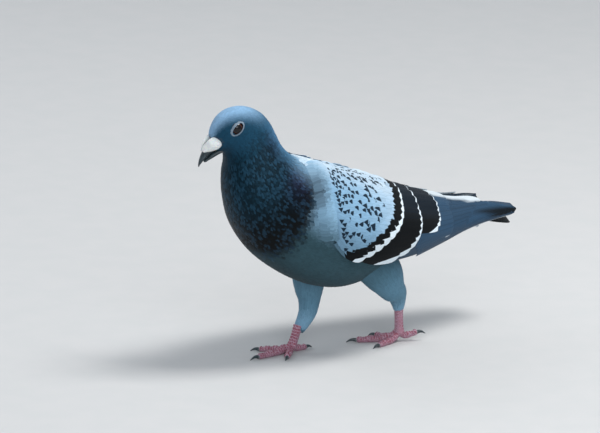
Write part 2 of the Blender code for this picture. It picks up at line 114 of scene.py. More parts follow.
TAIL_RAILS = (
    (-80, 99, 10, 4, 7), (-100, 97.5, 13, 7, 6), (-120, 91.5, 16.5, 10, 4),
    (-138, 86.8, 18.5, 10, 2.6), (-149, 83, 18, 7.5, 1.8), (-155, 79.8, 12.5, 4, 1.3),
)

LEFT_THIGH = ((18, -9, 72, 19, 12), (19, -22, 56, 16, 12.5), (18, -30, 45, 11.5, 10),
              (16.5, -36, 39, 9, 7.9), (15, -39.3, 32, 6.2, 5.8), (14.4, -40.4, 25.5, 4.1, 4))
RIGHT_THIGH = ((17, 21, 78, 20, 14), (17, 21, 60, 15, 13), (17, 21, 45, 11.5, 10.5),
               (16, 21.8, 36, 8.6, 8.2), (14.6, 25, 27.2, 7.2, 6.4), (13.8, 34, 15.5, 4.4, 4.2))
LEFT_HUB, RIGHT_HUB = (13.6, -41.5, 7.4), (13.6, 41, 4.4)
SIDES = (("left", 1), ("right", -1))
THIGHS = (("left", LEFT_THIGH, 1), ("right", RIGHT_THIGH, -1))
SHANK_RADIUS, HUB_RADIUS = 2.9, 4.3
TOE_NAMES = ("hallux", "inner_toe", "middle_toe", "outer_toe")
TOE_LENGTHS, TOE_SPREADS = (13.5, 21, 32, 24), (180, 41, 0, -44)
TOE_RADII, TOE_PADS = (2.3, 2.3, 2.5, 2.3), (2, 2, 3, 4)
CLAW_LENGTHS = (6.5, 6.5, 8, 6.8)
LEFT_FOOT_TURN, RIGHT_FOOT_TURN, LEFT_HALLUX_RISE = 33, 0, 5
SOLE_FLAT, TOE_ROOT_RISE = 0.35, 2.1


def srgb(red, green, blue):
    """A linear colour from red, green and blue of 0 to 255 as a screen shows them."""
    share = np.array([red, green, blue]) / 255
    return tuple(float(c) for c in np.where(share < 0.04045, share / 12.92, ((share + 0.055) / 1.055) ** 2.4))


# ---------------------------------------------------------------------------------------------
# Sizes and colours that a user may change
# ---------------------------------------------------------------------------------------------
def colour_of(name, description, *rgb):
    """A colour property, from red, green and blue of 0 to 255."""
    return bpy.props.FloatVectorProperty(name=name, description=description, default=srgb(*rgb),
                                         size=3, subtype="COLOR", min=0, max=1)


def size_of(name, description, default, low, high):
    """A length property in millimetres."""
    return bpy.props.FloatProperty(name=name, description=description, default=default, min=low, max=high)


class PigeonColours(bpy.types.PropertyGroup):
    """Colours of the plumage and the bare parts."""
    # Top of the head, paler than the face as a painted highlight from above
    sunlit_crown: colour_of("Crown", "Top of the head", 136, 176, 210)
    face: colour_of("Face", "Sides of the head and the chin", 22, 66, 90)
    teal: colour_of("Teal", "Green-blue gloss of the neck", 5, 38, 52)
    violet: colour_of("Violet", "Purple gloss at the sides of the neck", 60, 64, 102)
    breast: colour_of("Breast", "Dark lower neck and upper breast", 2, 7, 10)
    mantle: colour_of("Mantle", "Upper back and the sides of the breast", 152, 194, 224)
    # Underparts: their own slate grey, darkened as painted shade under the body; the same colour paints shade
    # low on the wings, on the tops of the thighs and under the tail
    shaded_belly: colour_of("Belly", "Belly and flanks", 50, 78, 88)
    rump: colour_of("Rump", "Pale lower back", 226, 236, 242)
    shield: colour_of("Shield", "Ground colour of the wing shield", 134, 174, 204)
    fringe: colour_of("Fringe", "Pale tips of the covert rows", 222, 234, 242)
    bar: colour_of("Bar", "Wing bars and checks", 2, 7, 11)
    slate: colour_of("Slate", "Flight feathers", 44, 74, 100)
    horn: colour_of("Horn", "Bill and claws", 34, 48, 54)
    cere: colour_of("Cere", "Powdery pads over the bill", 238, 240, 236)
    nape: colour_of("Nape", "Back of the neck", 76, 130, 168)
    lid: colour_of("Lid", "Bare ring round the eye", 124, 142, 158)
    iris: colour_of("Iris", "Iris of the eye", 48, 24, 20)
    thigh: colour_of("Thigh", "Feathers of the thighs", 94, 134, 156)
    leg: colour_of("Leg", "Scales of the legs and toes", 138, 62, 82)
    scale_edge: colour_of("Scale edge", "Skin between the scales", 210, 182, 200)


class PigeonSizes(bpy.types.PropertyGroup):
    """Sizes of the coat, in millimetres."""
    head_spacing: size_of("Head spacing", "Distance between feathers on the head", 1.15, 0.8, 3)
    neck_spacing: size_of("Neck spacing", "Distance between feathers on the neck", 1.75, 1, 4)
    body_spacing: size_of("Body spacing", "Distance between feathers on the body", 2.5, 1.5, 6)
    covert_spacing: size_of("Covert spacing", "Distance between the wing shield's coverts", 3.7, 2, 8)
    head_coat: size_of("Head coat", "Depth of the coat on the head", 0.7, 0.3, 2)
    body_coat: size_of("Body coat", "Depth of the coat on the body", 1.8, 0.5, 3)


def palette():
    """The colours as they are set now."""
    return bpy.context.scene.pigeon_colours


def coat_sizes():
    """The sizes as they are set now."""
    return bpy.context.scene.pigeon_sizes


# ---------------------------------------------------------------------------------------------
# Surfaces
# ---------------------------------------------------------------------------------------------
def spline(table, at):
    """Rows of a table read at fractional row numbers, on one smooth Catmull-Rom curve."""
    rows = np.asarray(table, float)
    padded = np.vstack([2 * rows[0] - rows[1], rows, 2 * rows[-1] - rows[-2]])
    at = np.clip(np.asarray(at, float), 0, len(rows) - 1)
    i = np.minimum(at.astype(int), len(rows) - 2)
    f = (at - i)[:, None]
    before, start, end, after = (padded[i + k] for k in range(4))
    return 0.5 * (2 * start + (end - before) * f
                  + (2 * before - 5 * start + 4 * end - after) * f**2
                  + (3 * start - before - 3 * end + after) * f**3)


def smooth(value, low, high):
    """0 below low, 1 above high, and a smooth S between them."""
    share = np.clip((value - low) / (high - low), 0, 1)
    return share * share * (3 - 2 * share)


def circle(count):
    """That many angles evenly round a circle."""
    return np.arange(count) / count * 2 * math.pi


def running(numbers):
    """Running sums, from 0."""
    return np.concatenate([[0], np.cumsum(numbers)])


def unit(vectors):
    """Vectors at length 1."""
    return vectors / np.maximum(np.linalg.norm(vectors, axis=-1, keepdims=True), 1e-9)


def turned(points, share):
    """Points turned to the bird's right about the neck's upright axis by a share of the head's turn."""
    angle = HEAD_TURN * np.asarray(share, float)
    sine, cosine = np.sin(angle), np.cos(angle)
    side, forward = points[..., 0], -points[..., 1] - TURN_PIVOT
    return np.stack([side * cosine - forward * sine, -(side * sine + forward * cosine + TURN_PIVOT),
                     points[..., 2]], axis=-1)


def body_grid(stations, angles):
    """Body surface: superellipse sections between the dorsal and the ventral line, a little wider above.

    Angles run from 0 at the dorsal line, over the left side, to 1.
    """
    rails = spline(BODY_RAILS, stations)[:, None, :]
    angle = 2 * math.pi * np.asarray(angles)[None, :]
    across, along = np.sin(angle), np.cos(angle)
    power = 2 / BODY_SQUARENESS
    across = np.sign(across) * np.abs(across) ** power
    along = np.sign(along) * np.abs(along) ** power
    forward = (rails[..., 0] * (1 + along) + rails[..., 2] * (1 - along)) / 2
    up = (rails[..., 1] * (1 + along) + rails[..., 3] * (1 - along)) / 2
    wide = across * (1 + BODY_EGG * along) * rails[..., 4]
    return turned(np.stack([wide, -forward, up], axis=-1), rails[..., 5] + 0 * along)


class Sheet:
    """A surface read from a grid: a runs 0 to 1 the way its feathers lie, and b runs 0 to 1 across.

    A closed sheet's last column repeats its first. Past its edges it goes straight on.
    """

    def __init__(self, points, closed=False):
        self.shape, self.closed = points.shape[:2], closed
        rows, columns = points.shape[0] - 1, points.shape[1] - 1
        down = np.gradient(points, axis=0) * rows
        if closed:
            over = (np.roll(points[:, :-1], -1, 1) - np.roll(points[:, :-1], 1, 1)) / 2
            over = np.concatenate([over, over[:, :1]], axis=1) * columns
        else:
            over = np.gradient(points, axis=1) * columns
        normals = unit(np.cross(down, over))
        self.table = np.concatenate([points, normals, down, over], axis=-1)
        self.area = np.linalg.norm(np.cross(down, over), axis=-1)

    def at(self, a, b):
        """Points, outward normals and the two tangents, mixed from the four grid points around."""
        rows, columns = self.shape[0] - 1, self.shape[1] - 1
        if self.closed:
            b = b % 1.0
        held_a, held_b = np.clip(a, 0, 1), np.clip(b, 0, 1)
        i = np.minimum((held_a * rows).astype(int), rows - 1)
        j = np.minimum((held_b * columns).astype(int), columns - 1)
        f, g = (held_a * rows - i)[..., None], (held_b * columns - j)[..., None]
        mixed = ((self.table[i, j] * (1 - f) + self.table[i + 1, j] * f) * (1 - g)
                 + (self.table[i, j + 1] * (1 - f) + self.table[i + 1, j + 1] * f) * g)
        point, normal, down, over = (mixed[..., 3 * k:3 * k + 3] for k in range(4))
        point = point + down * (a - held_a)[..., None] + over * (b - held_b)[..., None]
        return point, unit(normal), down, over

    def spread(self, spacing, inside, seed):
        """Evenly scattered places, one for each spacing squared of area where inside is true.

        Spacing is a length or a function of a and b, and inside is a function or None for everywhere.

        A sequence of two golden-like steps is read through the running sums of the area, which unrolls
        the surface onto a unit square at an even scale. The square's own coordinates come back too.
        """
        rows, columns = self.shape
        a, b = np.meshgrid(np.linspace(0, 1, rows), np.linspace(0, 1, columns), indexing="ij")
        apart = spacing(a, b) if callable(spacing) else spacing
        weight = self.area * (inside(a, b) if inside else 1) / apart**2
        weight = (weight[1:, 1:] + weight[:-1, 1:] + weight[1:, :-1] + weight[:-1, :-1]) / 4
        share = weight / ((rows - 1) * (columns - 1))
        count = int(share.sum())
        steps = np.arange(1, count + 1)
        first, second = (0.5 + seed * 0.37 + steps * 0.7548776662) % 1, (0.5 + steps * 0.5698402910) % 1
        by_row = running(share.sum(1))
        place = np.interp(first * by_row[-1], by_row, np.arange(rows))
        row = np.minimum(place.astype(int), rows - 2)
        sums = np.concatenate([np.zeros((rows - 1, 1)), np.cumsum(share, axis=1)], axis=1)
        sums = sums / np.maximum(sums[:, -1:], 1e-12) + np.arange(rows - 1)[:, None]
        found = np.interp(second + row, sums.ravel(), np.arange(sums.size))
        return place / (rows - 1), (found - row * columns) / (columns - 1), first, second


def facing(sheet, outward):
    """The sheet with its normals on the outward side."""
    if (sheet.table[..., 3:6] * outward).sum() < 0:
        sheet.table[..., 3:6] *= -1
    return sheet


def closed_sheet(points):
    """A closed sheet with its normals away from its middle line."""
    sheet = Sheet(points, closed=True)
    return facing(sheet, sheet.table[..., 0:3] - sheet.table[:, :-1, 0:3].mean(1, keepdims=True))


def nearest(points, targets, parts=16):
    """For each point, the number of the target nearest to it, worked out in parts to save memory."""
    return np.concatenate([((part[:, None] - targets[None]) ** 2).sum(-1).argmin(1)
                           for part in np.array_split(points, parts)])


def pushed_off(points, sheet, margin, reach):
    """Points moved out along the nearest normal until each is a margin outside a sheet near it."""
    flat = points.reshape(-1, 3)
    solid, normals = (sheet.table[..., k:k + 3].reshape(-1, 3) for k in (0, 3))
    near = nearest(flat, solid)
    offset = flat - solid[near]
    depth = (offset * normals[near]).sum(1)
    short = (depth < margin) & (np.sqrt((offset**2).sum(1)) < margin + reach)
    return (flat + np.where(short, margin - depth, 0)[:, None] * normals[near]).reshape(points.shape)


def wing_grid(stations, steps):
    """Outer face of the left wing: each section is a parabola through the upper, flank and lower rails."""
    rows = spline(WING_RAILS, stations).reshape(-1, 3, 3)
    top, flank, low = (rows[:, None, k] for k in range(3))
    t = np.asarray(steps)[None, :, None]
    curve = top * (1 - t) * (1 - 2 * t) + flank * 4 * t * (1 - t) + low * t * (2 * t - 1)
    return np.stack([curve[..., 1], -curve[..., 0], curve[..., 2]], axis=-1)


def tail_grid(rows, columns, under=0.0):
    """Upper face of the tail: an arch that drops to both edges, or its lower face, lower by the thickness."""
    rails = spline(TAIL_RAILS, np.linspace(0, len(TAIL_RAILS) - 1, rows))[:, None, :]
    share = np.linspace(-1, 1, columns)[None, :]
    side = share * rails[..., 2]
    up = rails[..., 1] - rails[..., 3] * np.abs(share) ** 1.7 - under * rails[..., 4]
    return np.stack([side, -rails[..., 0] + 0 * side, up], axis=-1)


def thigh_grid(rails, side):
    """A feathered leg: ellipses square to a curved centre line."""
    table = spline(rails, np.linspace(0, len(rails) - 1, THIGH_ROWS))
    centres = np.stack([side * table[:, 0], -table[:, 1], table[:, 2]], axis=1)
    run = unit(np.gradient(centres, axis=0))
    fore = unit(np.cross(run, np.array([[side, 0, 0.0]])))
    across = np.cross(fore, run)
    angle = np.linspace(0, 2 * math.pi, THIGH_COLUMNS)[None, :, None]
    return (centres[:, None] + np.cos(angle) * (fore * table[:, 3:4])[:, None]
            + np.sin(angle) * (across * table[:, 4:5])[:, None])


BODY_ROWS, BODY_COLUMNS = 361, 193
WING_ROWS, WING_COLUMNS = 73, 33
TAIL_ROWS, TAIL_COLUMNS = 61, 49
THIGH_ROWS, THIGH_COLUMNS = 61, 49
BODY = closed_sheet(body_grid(np.linspace(BODY_LAST, 0, BODY_ROWS), np.linspace(0, 1, BODY_COLUMNS)))
TRUNK = closed_sheet(body_grid(np.linspace(0, HEAD_FROM - 2, 110), np.linspace(0, 1, 97)))
TAIL_TOP = facing(Sheet(tail_grid(60, 41)), (0, 0, 1))


def off_the_body(points, margin):
    """Wing points kept clear of the body and of the tail."""
    return pushed_off(pushed_off(points, TRUNK, margin, WING_THICK_FRONT), TAIL_TOP, margin, WING_THICK_TIP)


WING_FACE = wing_grid(np.linspace(0, WING_LAST, WING_ROWS), np.linspace(0, 1, WING_COLUMNS))
WING = facing(Sheet(off_the_body(WING_FACE, WING_OFF_BODY)), (1, 0, 0))
TAIL = facing(Sheet(tail_grid(TAIL_ROWS, TAIL_COLUMNS)), (0, 0, 1))
TAIL_UNDER = facing(Sheet(tail_grid(TAIL_ROWS, TAIL_COLUMNS, under=1.0)), (0, 0, -1))


def body_place(a, b):
    """The station of a place on the body, and how far round it lies: 0 on the back, 0.5 under the belly."""
    return BODY_LAST * (1 - a), np.minimum(b % 1, 1 - b % 1)


# ---------------------------------------------------------------------------------------------
# Meshes
# ---------------------------------------------------------------------------------------------
def new_piece(name, points, faces, look, tint=None, marks=None, vane=None, bake=None, crease=0.0):
    """An object from points in millimetres and a list of face arrays, with its colours and maps.

    Tint is a colour and a gloss for each point, marks three numbers, vane and bake two each.
    """
    mesh = bpy.data.meshes.new(name)
    points = np.asarray(points, float).reshape(-1, 3) * MM + [0, BACK, 0]
    corners = np.concatenate([f.ravel() for f in faces])
    sizes = np.concatenate([np.full(len(f), f.shape[1]) for f in faces])
    mesh.vertices.add(len(points))
    mesh.vertices.foreach_set("co", points.ravel())
    mesh.loops.add(len(corners))
    mesh.loops.foreach_set("vertex_index", corners.astype(np.int32))
    mesh.polygons.add(len(sizes))
    starts = running(sizes)[:-1]
    mesh.polygons.foreach_set("loop_start", starts.astype(np.int32))
    mesh.polygons.foreach_set("use_smooth", np.full(len(sizes), True))
    mesh.update(calc_edges=True)
    if tint is not None:
        layer = mesh.attributes.new("Tint", "FLOAT_COLOR", "POINT")
        layer.data.foreach_set("color", np.asarray(tint, np.float32).ravel())
    if marks is not None:
        layer = mesh.attributes.new("Marks", "FLOAT_VECTOR", "POINT")
        layer.data.foreach_set("vector", np.asarray(marks, np.float32).ravel())
    for label, places in (("Vane", vane), ("OFBake", bake)):
        if places is not None:
            layer = mesh.uv_layers.new(name=label)
            layer.data.foreach_set("uv", np.asarray(places, np.float32).reshape(-1, 2)[corners].ravel())
    if crease:
        mesh.set_sharp_from_angle(angle=crease)
    mesh.materials.append(look)
    made = bpy.data.objects.new(name, mesh)
    bpy.context.scene.collection.objects.link(made)
    return made


def keep(piece, slot, *nodes):
    """Rides the piece on the body and hides the nodes it stands for; its slot is not used."""
    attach(piece, "root")
    if nodes:
        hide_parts(*nodes)
    return piece


def tube_faces(rows, columns):
    """Quads of a closed tube of rows of rings, and a cap at each end."""
    r, c = np.meshgrid(np.arange(rows - 1), np.arange(columns), indexing="ij")
    n = (c + 1) % columns
    quads = np.stack([r * columns + c, r * columns + n, (r + 1) * columns + n, (r + 1) * columns + c], -1)
    quads = quads.reshape(-1, 4)
    caps = np.array([np.arange(columns)[::-1], (rows - 1) * columns + np.arange(columns)])
    return [quads, caps]


def turned_out(rings, faces):
    """The faces, turned over if the tube's first rings wind inwards."""
    middle = len(rings) // 2
    ring = rings[middle] - rings[middle].mean(0)
    run = rings[middle + 1].mean(0) - rings[middle].mean(0)
    inward = np.dot(np.cross(ring, np.roll(ring, -1, 0)).sum(0), run) < 0
    return [f[:, ::-1] for f in faces] if inward else faces


def tube_piece(name, rings, look, slot, node, tint=None, maps=None):
    """A closed tube of rings that stands for a node, mapped around and along unless maps are given."""
    rows, columns = rings.shape[:2]
    if maps is None:
        along, around = np.meshgrid(np.linspace(0, 1, rows), np.arange(columns) / columns, indexing="ij")
        maps = np.stack([around, along], axis=-1)
    faces = turned_out(rings, tube_faces(rows, columns))
    keep(new_piece(name, rings, faces, finish_of(look), tint, vane=maps), slot, node)


SECTIONS = {
    4: ((-1, 0), (0, 1), (1, 0), (0, -1)),
    8: ((-1, 0), (-0.55, 0.7), (0, 1), (0.55, 0.7), (1, 0), (0.55, -0.7), (0, -1), (-0.55, -0.7)),
}


VANE_TIP = 0.12  # the half width that the last ring keeps, so that the tip is closed and not a point


def blade_outline(along, blunt, root):
    """Half width of a vane along its length: from a narrow root out to full width, then a round tip."""
    widen = root + (1 - root) * smooth(along, 0, 0.45)
    tip = np.clip((along - blunt) / (1 - blunt), 0, 1)
    return widen * np.sqrt(np.maximum(1 - tip**2, 0)) + 0.05 * (1 - along)


def steps_of(vector, down, over):
    """How far a vector goes in a and in b, by the inverse of the tangents' products."""
    g11, g12, g22 = (down * down).sum(-1), (down * over).sum(-1), (over * over).sum(-1)
    det = np.maximum(g11 * g22 - g12**2, 1e-6)
    on_down, on_over = (vector * down).sum(-1), (vector * over).sum(-1)
    return (g22 * on_down - g12 * on_over) / det, (g11 * on_over - g12 * on_down) / det


def vanes(sheet, a, b, first, second, length, width, low, high, turn=0.0, ends=None, stop=None, sides=4,
          rings=6, blunt=0.62, thick=0.12, droop=0.25, tuck=0.35, patch=0.003, root=0.35):
    """Closed, thin vanes that lie along a sheet, for all places at once.

    The shaft runs straight in a and b, from the root to an end, which is length away along the lie with a
    turn or is given. A point at q of the half width lies q*outline(p)*width to the side, and stands off the
    sheet by low + (high - low)*p, less a droop towards the edges and a tuck at the tip. The bake map
    gives each vane a small patch at its place on the unrolled sheet. Returns a dictionary.
    """
    count = len(a)
    section = np.array(SECTIONS[sides], float)
    p = 1 - np.linspace(1, 0, rings) ** 1.35  # closer rings towards the tip
    wide = blade_outline(p, blunt, root)
    wide[-1] = VANE_TIP
    if ends is None:
        _, normal, down, over = sheet.at(a, b)
        ahead = unit(down)
        lie = np.cos(turn) * ahead.T + np.sin(turn) * np.cross(normal, ahead).T
        ends = steps_of(lie.T * np.reshape(length, (-1, 1)), down, over)
        ends = a + ends[0], b + ends[1]
    if stop is not None:
        ends = np.minimum(ends[0], stop), ends[1]
    step_a, step_b = (ends[0] - a)[:, None], (ends[1] - b)[:, None]
    line_a, line_b = a[:, None] + p * step_a, b[:, None] + p * step_b
    _, normal, down, over = sheet.at(line_a, line_b)
    way = unit(down * step_a[..., None] + over * step_b[..., None])
    cross_a, cross_b = steps_of(np.cross(normal, way), down, over)
    across = (wide[:, None] * section[None, :, 0])[None] * np.reshape(width, (-1, 1, 1))
    all_a = line_a[..., None] + cross_a[..., None] * across
    all_b = line_b[..., None] + cross_b[..., None] * across
    point, normal, _, _ = sheet.at(all_a, all_b)
    q = section[None, None, :, 0]
    body = (1 - 0.75 * p[:, None]) * section[None, :, 1]
    low, high, thick = (np.reshape(v, (-1, 1, 1)) for v in (low, high, thick))
    rise = (low + (high - low) * p[None, :, None]
            - droop * q**2 * np.reshape(width, (-1, 1, 1)) * 0.35 * wide[None, :, None]
            - tuck * p[None, :, None] ** 8 * (high - low) * 0.5 + thick * body[None])
    points = point + normal * rise[..., None]
    per = rings * sides
    base = (np.arange(count) * per)[:, None, None]
    tube = tube_faces(rings, sides)
    quads = (tube[0][None] + base).reshape(-1, 4)
    if sides == 4:
        caps = (tube[1][None] + base).reshape(-1, 4)
        faces = [np.concatenate([quads, caps])]
    else:
        o = (rings - 1) * sides
        ends = np.array([[7, 6, 2, 1], [6, 5, 3, 2],
                         [o + 1, o + 2, o + 6, o + 7], [o + 2, o + 3, o + 5, o + 6]])
        corners = np.array([[7, 1, 0], [5, 4, 3], [o, o + 1, o + 7], [o + 3, o + 4, o + 5]])
        faces = [np.concatenate([quads, (ends[None] + base).reshape(-1, 4)]),
                 (corners[None] + base).reshape(-1, 3)]
    probe = points[: min(count, 400)]
    ring = probe[:, 2] - probe[:, 2].mean(1, keepdims=True)
    run = probe[:, 3].mean(1) - probe[:, 2].mean(1)
    if ((np.cross(ring, np.roll(ring, -1, 1)).sum(1)) * run).sum() < 0:
        faces = [f[:, ::-1] for f in faces]
    vane_q = 0.5 + 0.5 * (wide[:, None] * section[None, :, 0])
    vane = np.stack(np.broadcast_arrays(vane_q[None], p[None, :, None]), -1)
    vane = np.broadcast_to(vane, (count, rings, sides, 2))
    centre = np.stack([second, first], -1)[:, None, None]
    bake = centre + (vane - 0.5) * patch
    return {"points": points.reshape(-1, 3), "faces": faces, "vane": vane.reshape(-1, 2),
            "bake": np.clip(bake, 0, 1).reshape(-1, 2), "a": all_a, "b": all_b, "p": p, "per": per,
            "count": count}


def mirrored(points, faces):
    """Points and faces of the same piece on the bird's other side."""
    return points * [-1, 1, 1], [f[:, ::-1] for f in faces]


def noise(first, second):
    """A repeatable number from 0 to 1 for each row, from a sine's far digits."""
    return (np.sin(first * 127.1 + second * 311.7) * 43758.5453) % 1


def aside(first, second, most):
    """A small turn of each vane, up to half of the most to either side."""
    return (noise(second, first) - 0.5) * most


# ---------------------------------------------------------------------------------------------
# Markings: colour as a formula of the place on each sheet
# ---------------------------------------------------------------------------------------------
def mixed(first, second, share):
    """Two colours mixed by a share, each a colour or an array of them."""
    share = np.asarray(share)[..., None]
    return np.asarray(first) * (1 - share) + np.asarray(second) * share


def with_gloss(shade, gloss=0.0):
    """Colours with their gloss as a fourth number."""
    return np.concatenate([shade, gloss + 0 * shade[..., :1]], axis=-1)


def hood_edge(b):
    """Station where the dark neck meets the pale mantle: level on the sides, higher on the back."""
    around = np.minimum(b % 1, 1 - b % 1)
    return 6.9 + 1.7 * np.exp(-(around / 0.055) ** 2) + 0.4 * smooth(around, 0.38, 0.5)


def body_tint(a, b, chance):
    """Plumage colour and gloss of the body at a and b, with a chance from 0 to 1 for each feather."""
    c = palette()
    station, around = body_place(a, b)
    wander = station + 0.35 * (chance - 0.5)
    # Pale back, smoky belly
    # Pale back: the rump's own white behind, and a painted highlight along the top of the back
    above = 1 - smooth(around, 0.02, 0.2)
    pale = mixed(c.mantle, c.rump, 0.75 * (1 - smooth(around, 0.03, 0.16)))
    pale = mixed(pale, c.rump, (1 - smooth(station, 1.6, 3.2)) * above)
    # Below: the shaded underparts colour, and darker still underneath the body, both painted shade
    lower = mixed(pale, c.shaded_belly, smooth(around, 0.2, 0.31))
    lower = mixed(lower, np.asarray(c.shaded_belly) * 0.55, smooth(around, 0.34, 0.5))
    # Dark neck, teal at its sides and violet in two patches
    teal_side = smooth(station, 7.6, 9.2) * smooth(around, 0.1, 0.24)
    teal = np.clip(0.35 + 0.65 * teal_side, 0, 1) * smooth(station, 6.9 + 0.5 * smooth(around, 0.3, 0.4), 8.8)
    glossy = mixed(c.breast, c.teal, teal)
    violet = 0.38 * np.exp(-((station - 8.0) / 0.7) ** 2) * np.exp(-((around - 0.17) / 0.06) ** 2)
    violet += 0.5 * np.exp(-((station - 11.2) / 1.3) ** 2) * np.exp(-((around - 0.08) / 0.09) ** 2)
    glossy = mixed(glossy, c.violet, np.clip(violet * (0.5 + 0.7 * chance), 0, 1))
    # Top of the head paler as a painted highlight from above, a dark face with the chin darker below as
    # painted shade, and the nape's lighter line
    face = mixed(c.face, c.sunlit_crown, (1 - smooth(around, 0.05, 0.2)) * smooth(station, 12.0, 14.5))
    # Painted shade: darker on the chin and throat, under the head
    face = mixed(face, np.asarray(c.face) * 0.62, smooth(around, 0.3, 0.42))
    hood = mixed(glossy, face, smooth(wander, 10.2, 13.2))
    nape = mixed(c.nape, c.mantle, 1 - smooth(wander, 7.2, 9.4))
    hood = mixed(hood, nape, (1 - smooth(around, 0.05, 0.2)) * (1 - smooth(station, 10.5, 13.5)) * 0.85)
    # The hood's edge: sharp on the sides and soft on the back
    edge = hood_edge(b)
    soft = 0.35 + 1.3 * (1 - smooth(around, 0.08, 0.3))
    tint = mixed(lower, hood, smooth(wander, edge - soft, edge + soft * 0.4))
    gloss = smooth(wander, edge - 0.1, edge + 0.9) * (1 - smooth(station, 11.0, 13.5)) * 0.75
    gloss = gloss * (0.3 + 0.7 * smooth(around, 0.08, 0.2))
    spread = 0.09 + 0.3 * gloss
    tint = tint * (1 + (chance - 0.5) * 2 * spread)[..., None]
    return with_gloss(tint, gloss[..., None])


def first_stripe(t):
    """Station of the first stripe's rear edge at a place t across the wing."""
    return 3.72 - 1.25 * t - 1.15 * t**4


def second_stripe(t):
    """The same for the second stripe."""
    return 4.2 - 0.55 * t - 0.3 * t**2 - 1.1 * t**12


def third_stripe(t):
    """The same for the third stripe, which bends forward low on the wing."""
    return 5.13 - 0.1 * t - 3.0 * t**3


def feather_marks(built, chance, spot=0.0, line=None):
    """Marks of every point of a vane: its chance, with 1 added on a spotted one, how far ahead of a line
    across the wing it lies, in millimetres, and its place across.
    """
    marks = np.zeros((*built["a"].shape, 3))
    marks[..., 0] = np.reshape(0.98 * chance + spot, (-1, 1, 1))
    if line is not None:
        held = np.clip(built["a"], 0.02, 0.98), np.clip(built["b"], 0.02, 0.94)
        station = np.linalg.norm(WING.at(*held)[2], axis=-1) / WING_LAST
        marks[..., 1] = (line(np.clip(built["b"], 0, 1)) - built["a"] * WING_LAST) * station
    marks[..., 2] = np.clip(built["b"], 0, 1)
    return marks.reshape(-1, 3)


def coat_piece(name, slot, built, look, tint, chance, spot=0.0, nodes=(), flip=False, line=None):
    """One piece of vanes, each of them or each point with its own tint, or its mirror image."""
    points, faces = built["points"], built["faces"]
    if flip:
        points, faces = mirrored(points, faces)
    if len(tint) == built["count"]:
        tint = np.repeat(tint, built["per"], axis=0)
    return keep(new_piece(name, points, faces, finish_of(look), tint,
                          feather_marks(built, chance, spot, line), built["vane"], built["bake"],
                          crease=math.radians(70)), slot, *nodes)


def plain_tint(colour, chance, spread=0.1, gloss=0.0):
    """One colour for each vane, a little lighter or darker by its chance, and a gloss."""
    shade = np.asarray(colour) * (1 - spread + 2 * spread * chance)[:, None]
    return with_gloss(shade, gloss)


def pair(name, slot, built, look, tint, chance, spot=0.0, line=None):
    """The left and the right piece of one set of feathers."""
    for word, flip in (("left_", False), ("right_", True)):
        coat_piece(word + name, slot, built, look, tint, chance, spot, flip=flip, line=line)


# ---------------------------------------------------------------------------------------------
# Materials
# ---------------------------------------------------------------------------------------------
class Value:
    """A number socket: an expression on it adds its Math nodes."""

    def __init__(self, look, socket):
        self.look, self.socket = look, socket

    def __add__(self, other):
        return self.look.math("ADD", self, other)

    def __sub__(self, other):
        return self.look.math("SUBTRACT", self, other)

    def __rsub__(self, other):
        return self.look.math("SUBTRACT", other, self)

    def __mul__(self, other):
        return self.look.math("MULTIPLY", self, other)

    def __truediv__(self, other):
        return self.look.math("DIVIDE", self, other)

    __radd__, __rmul__ = __add__, __mul__


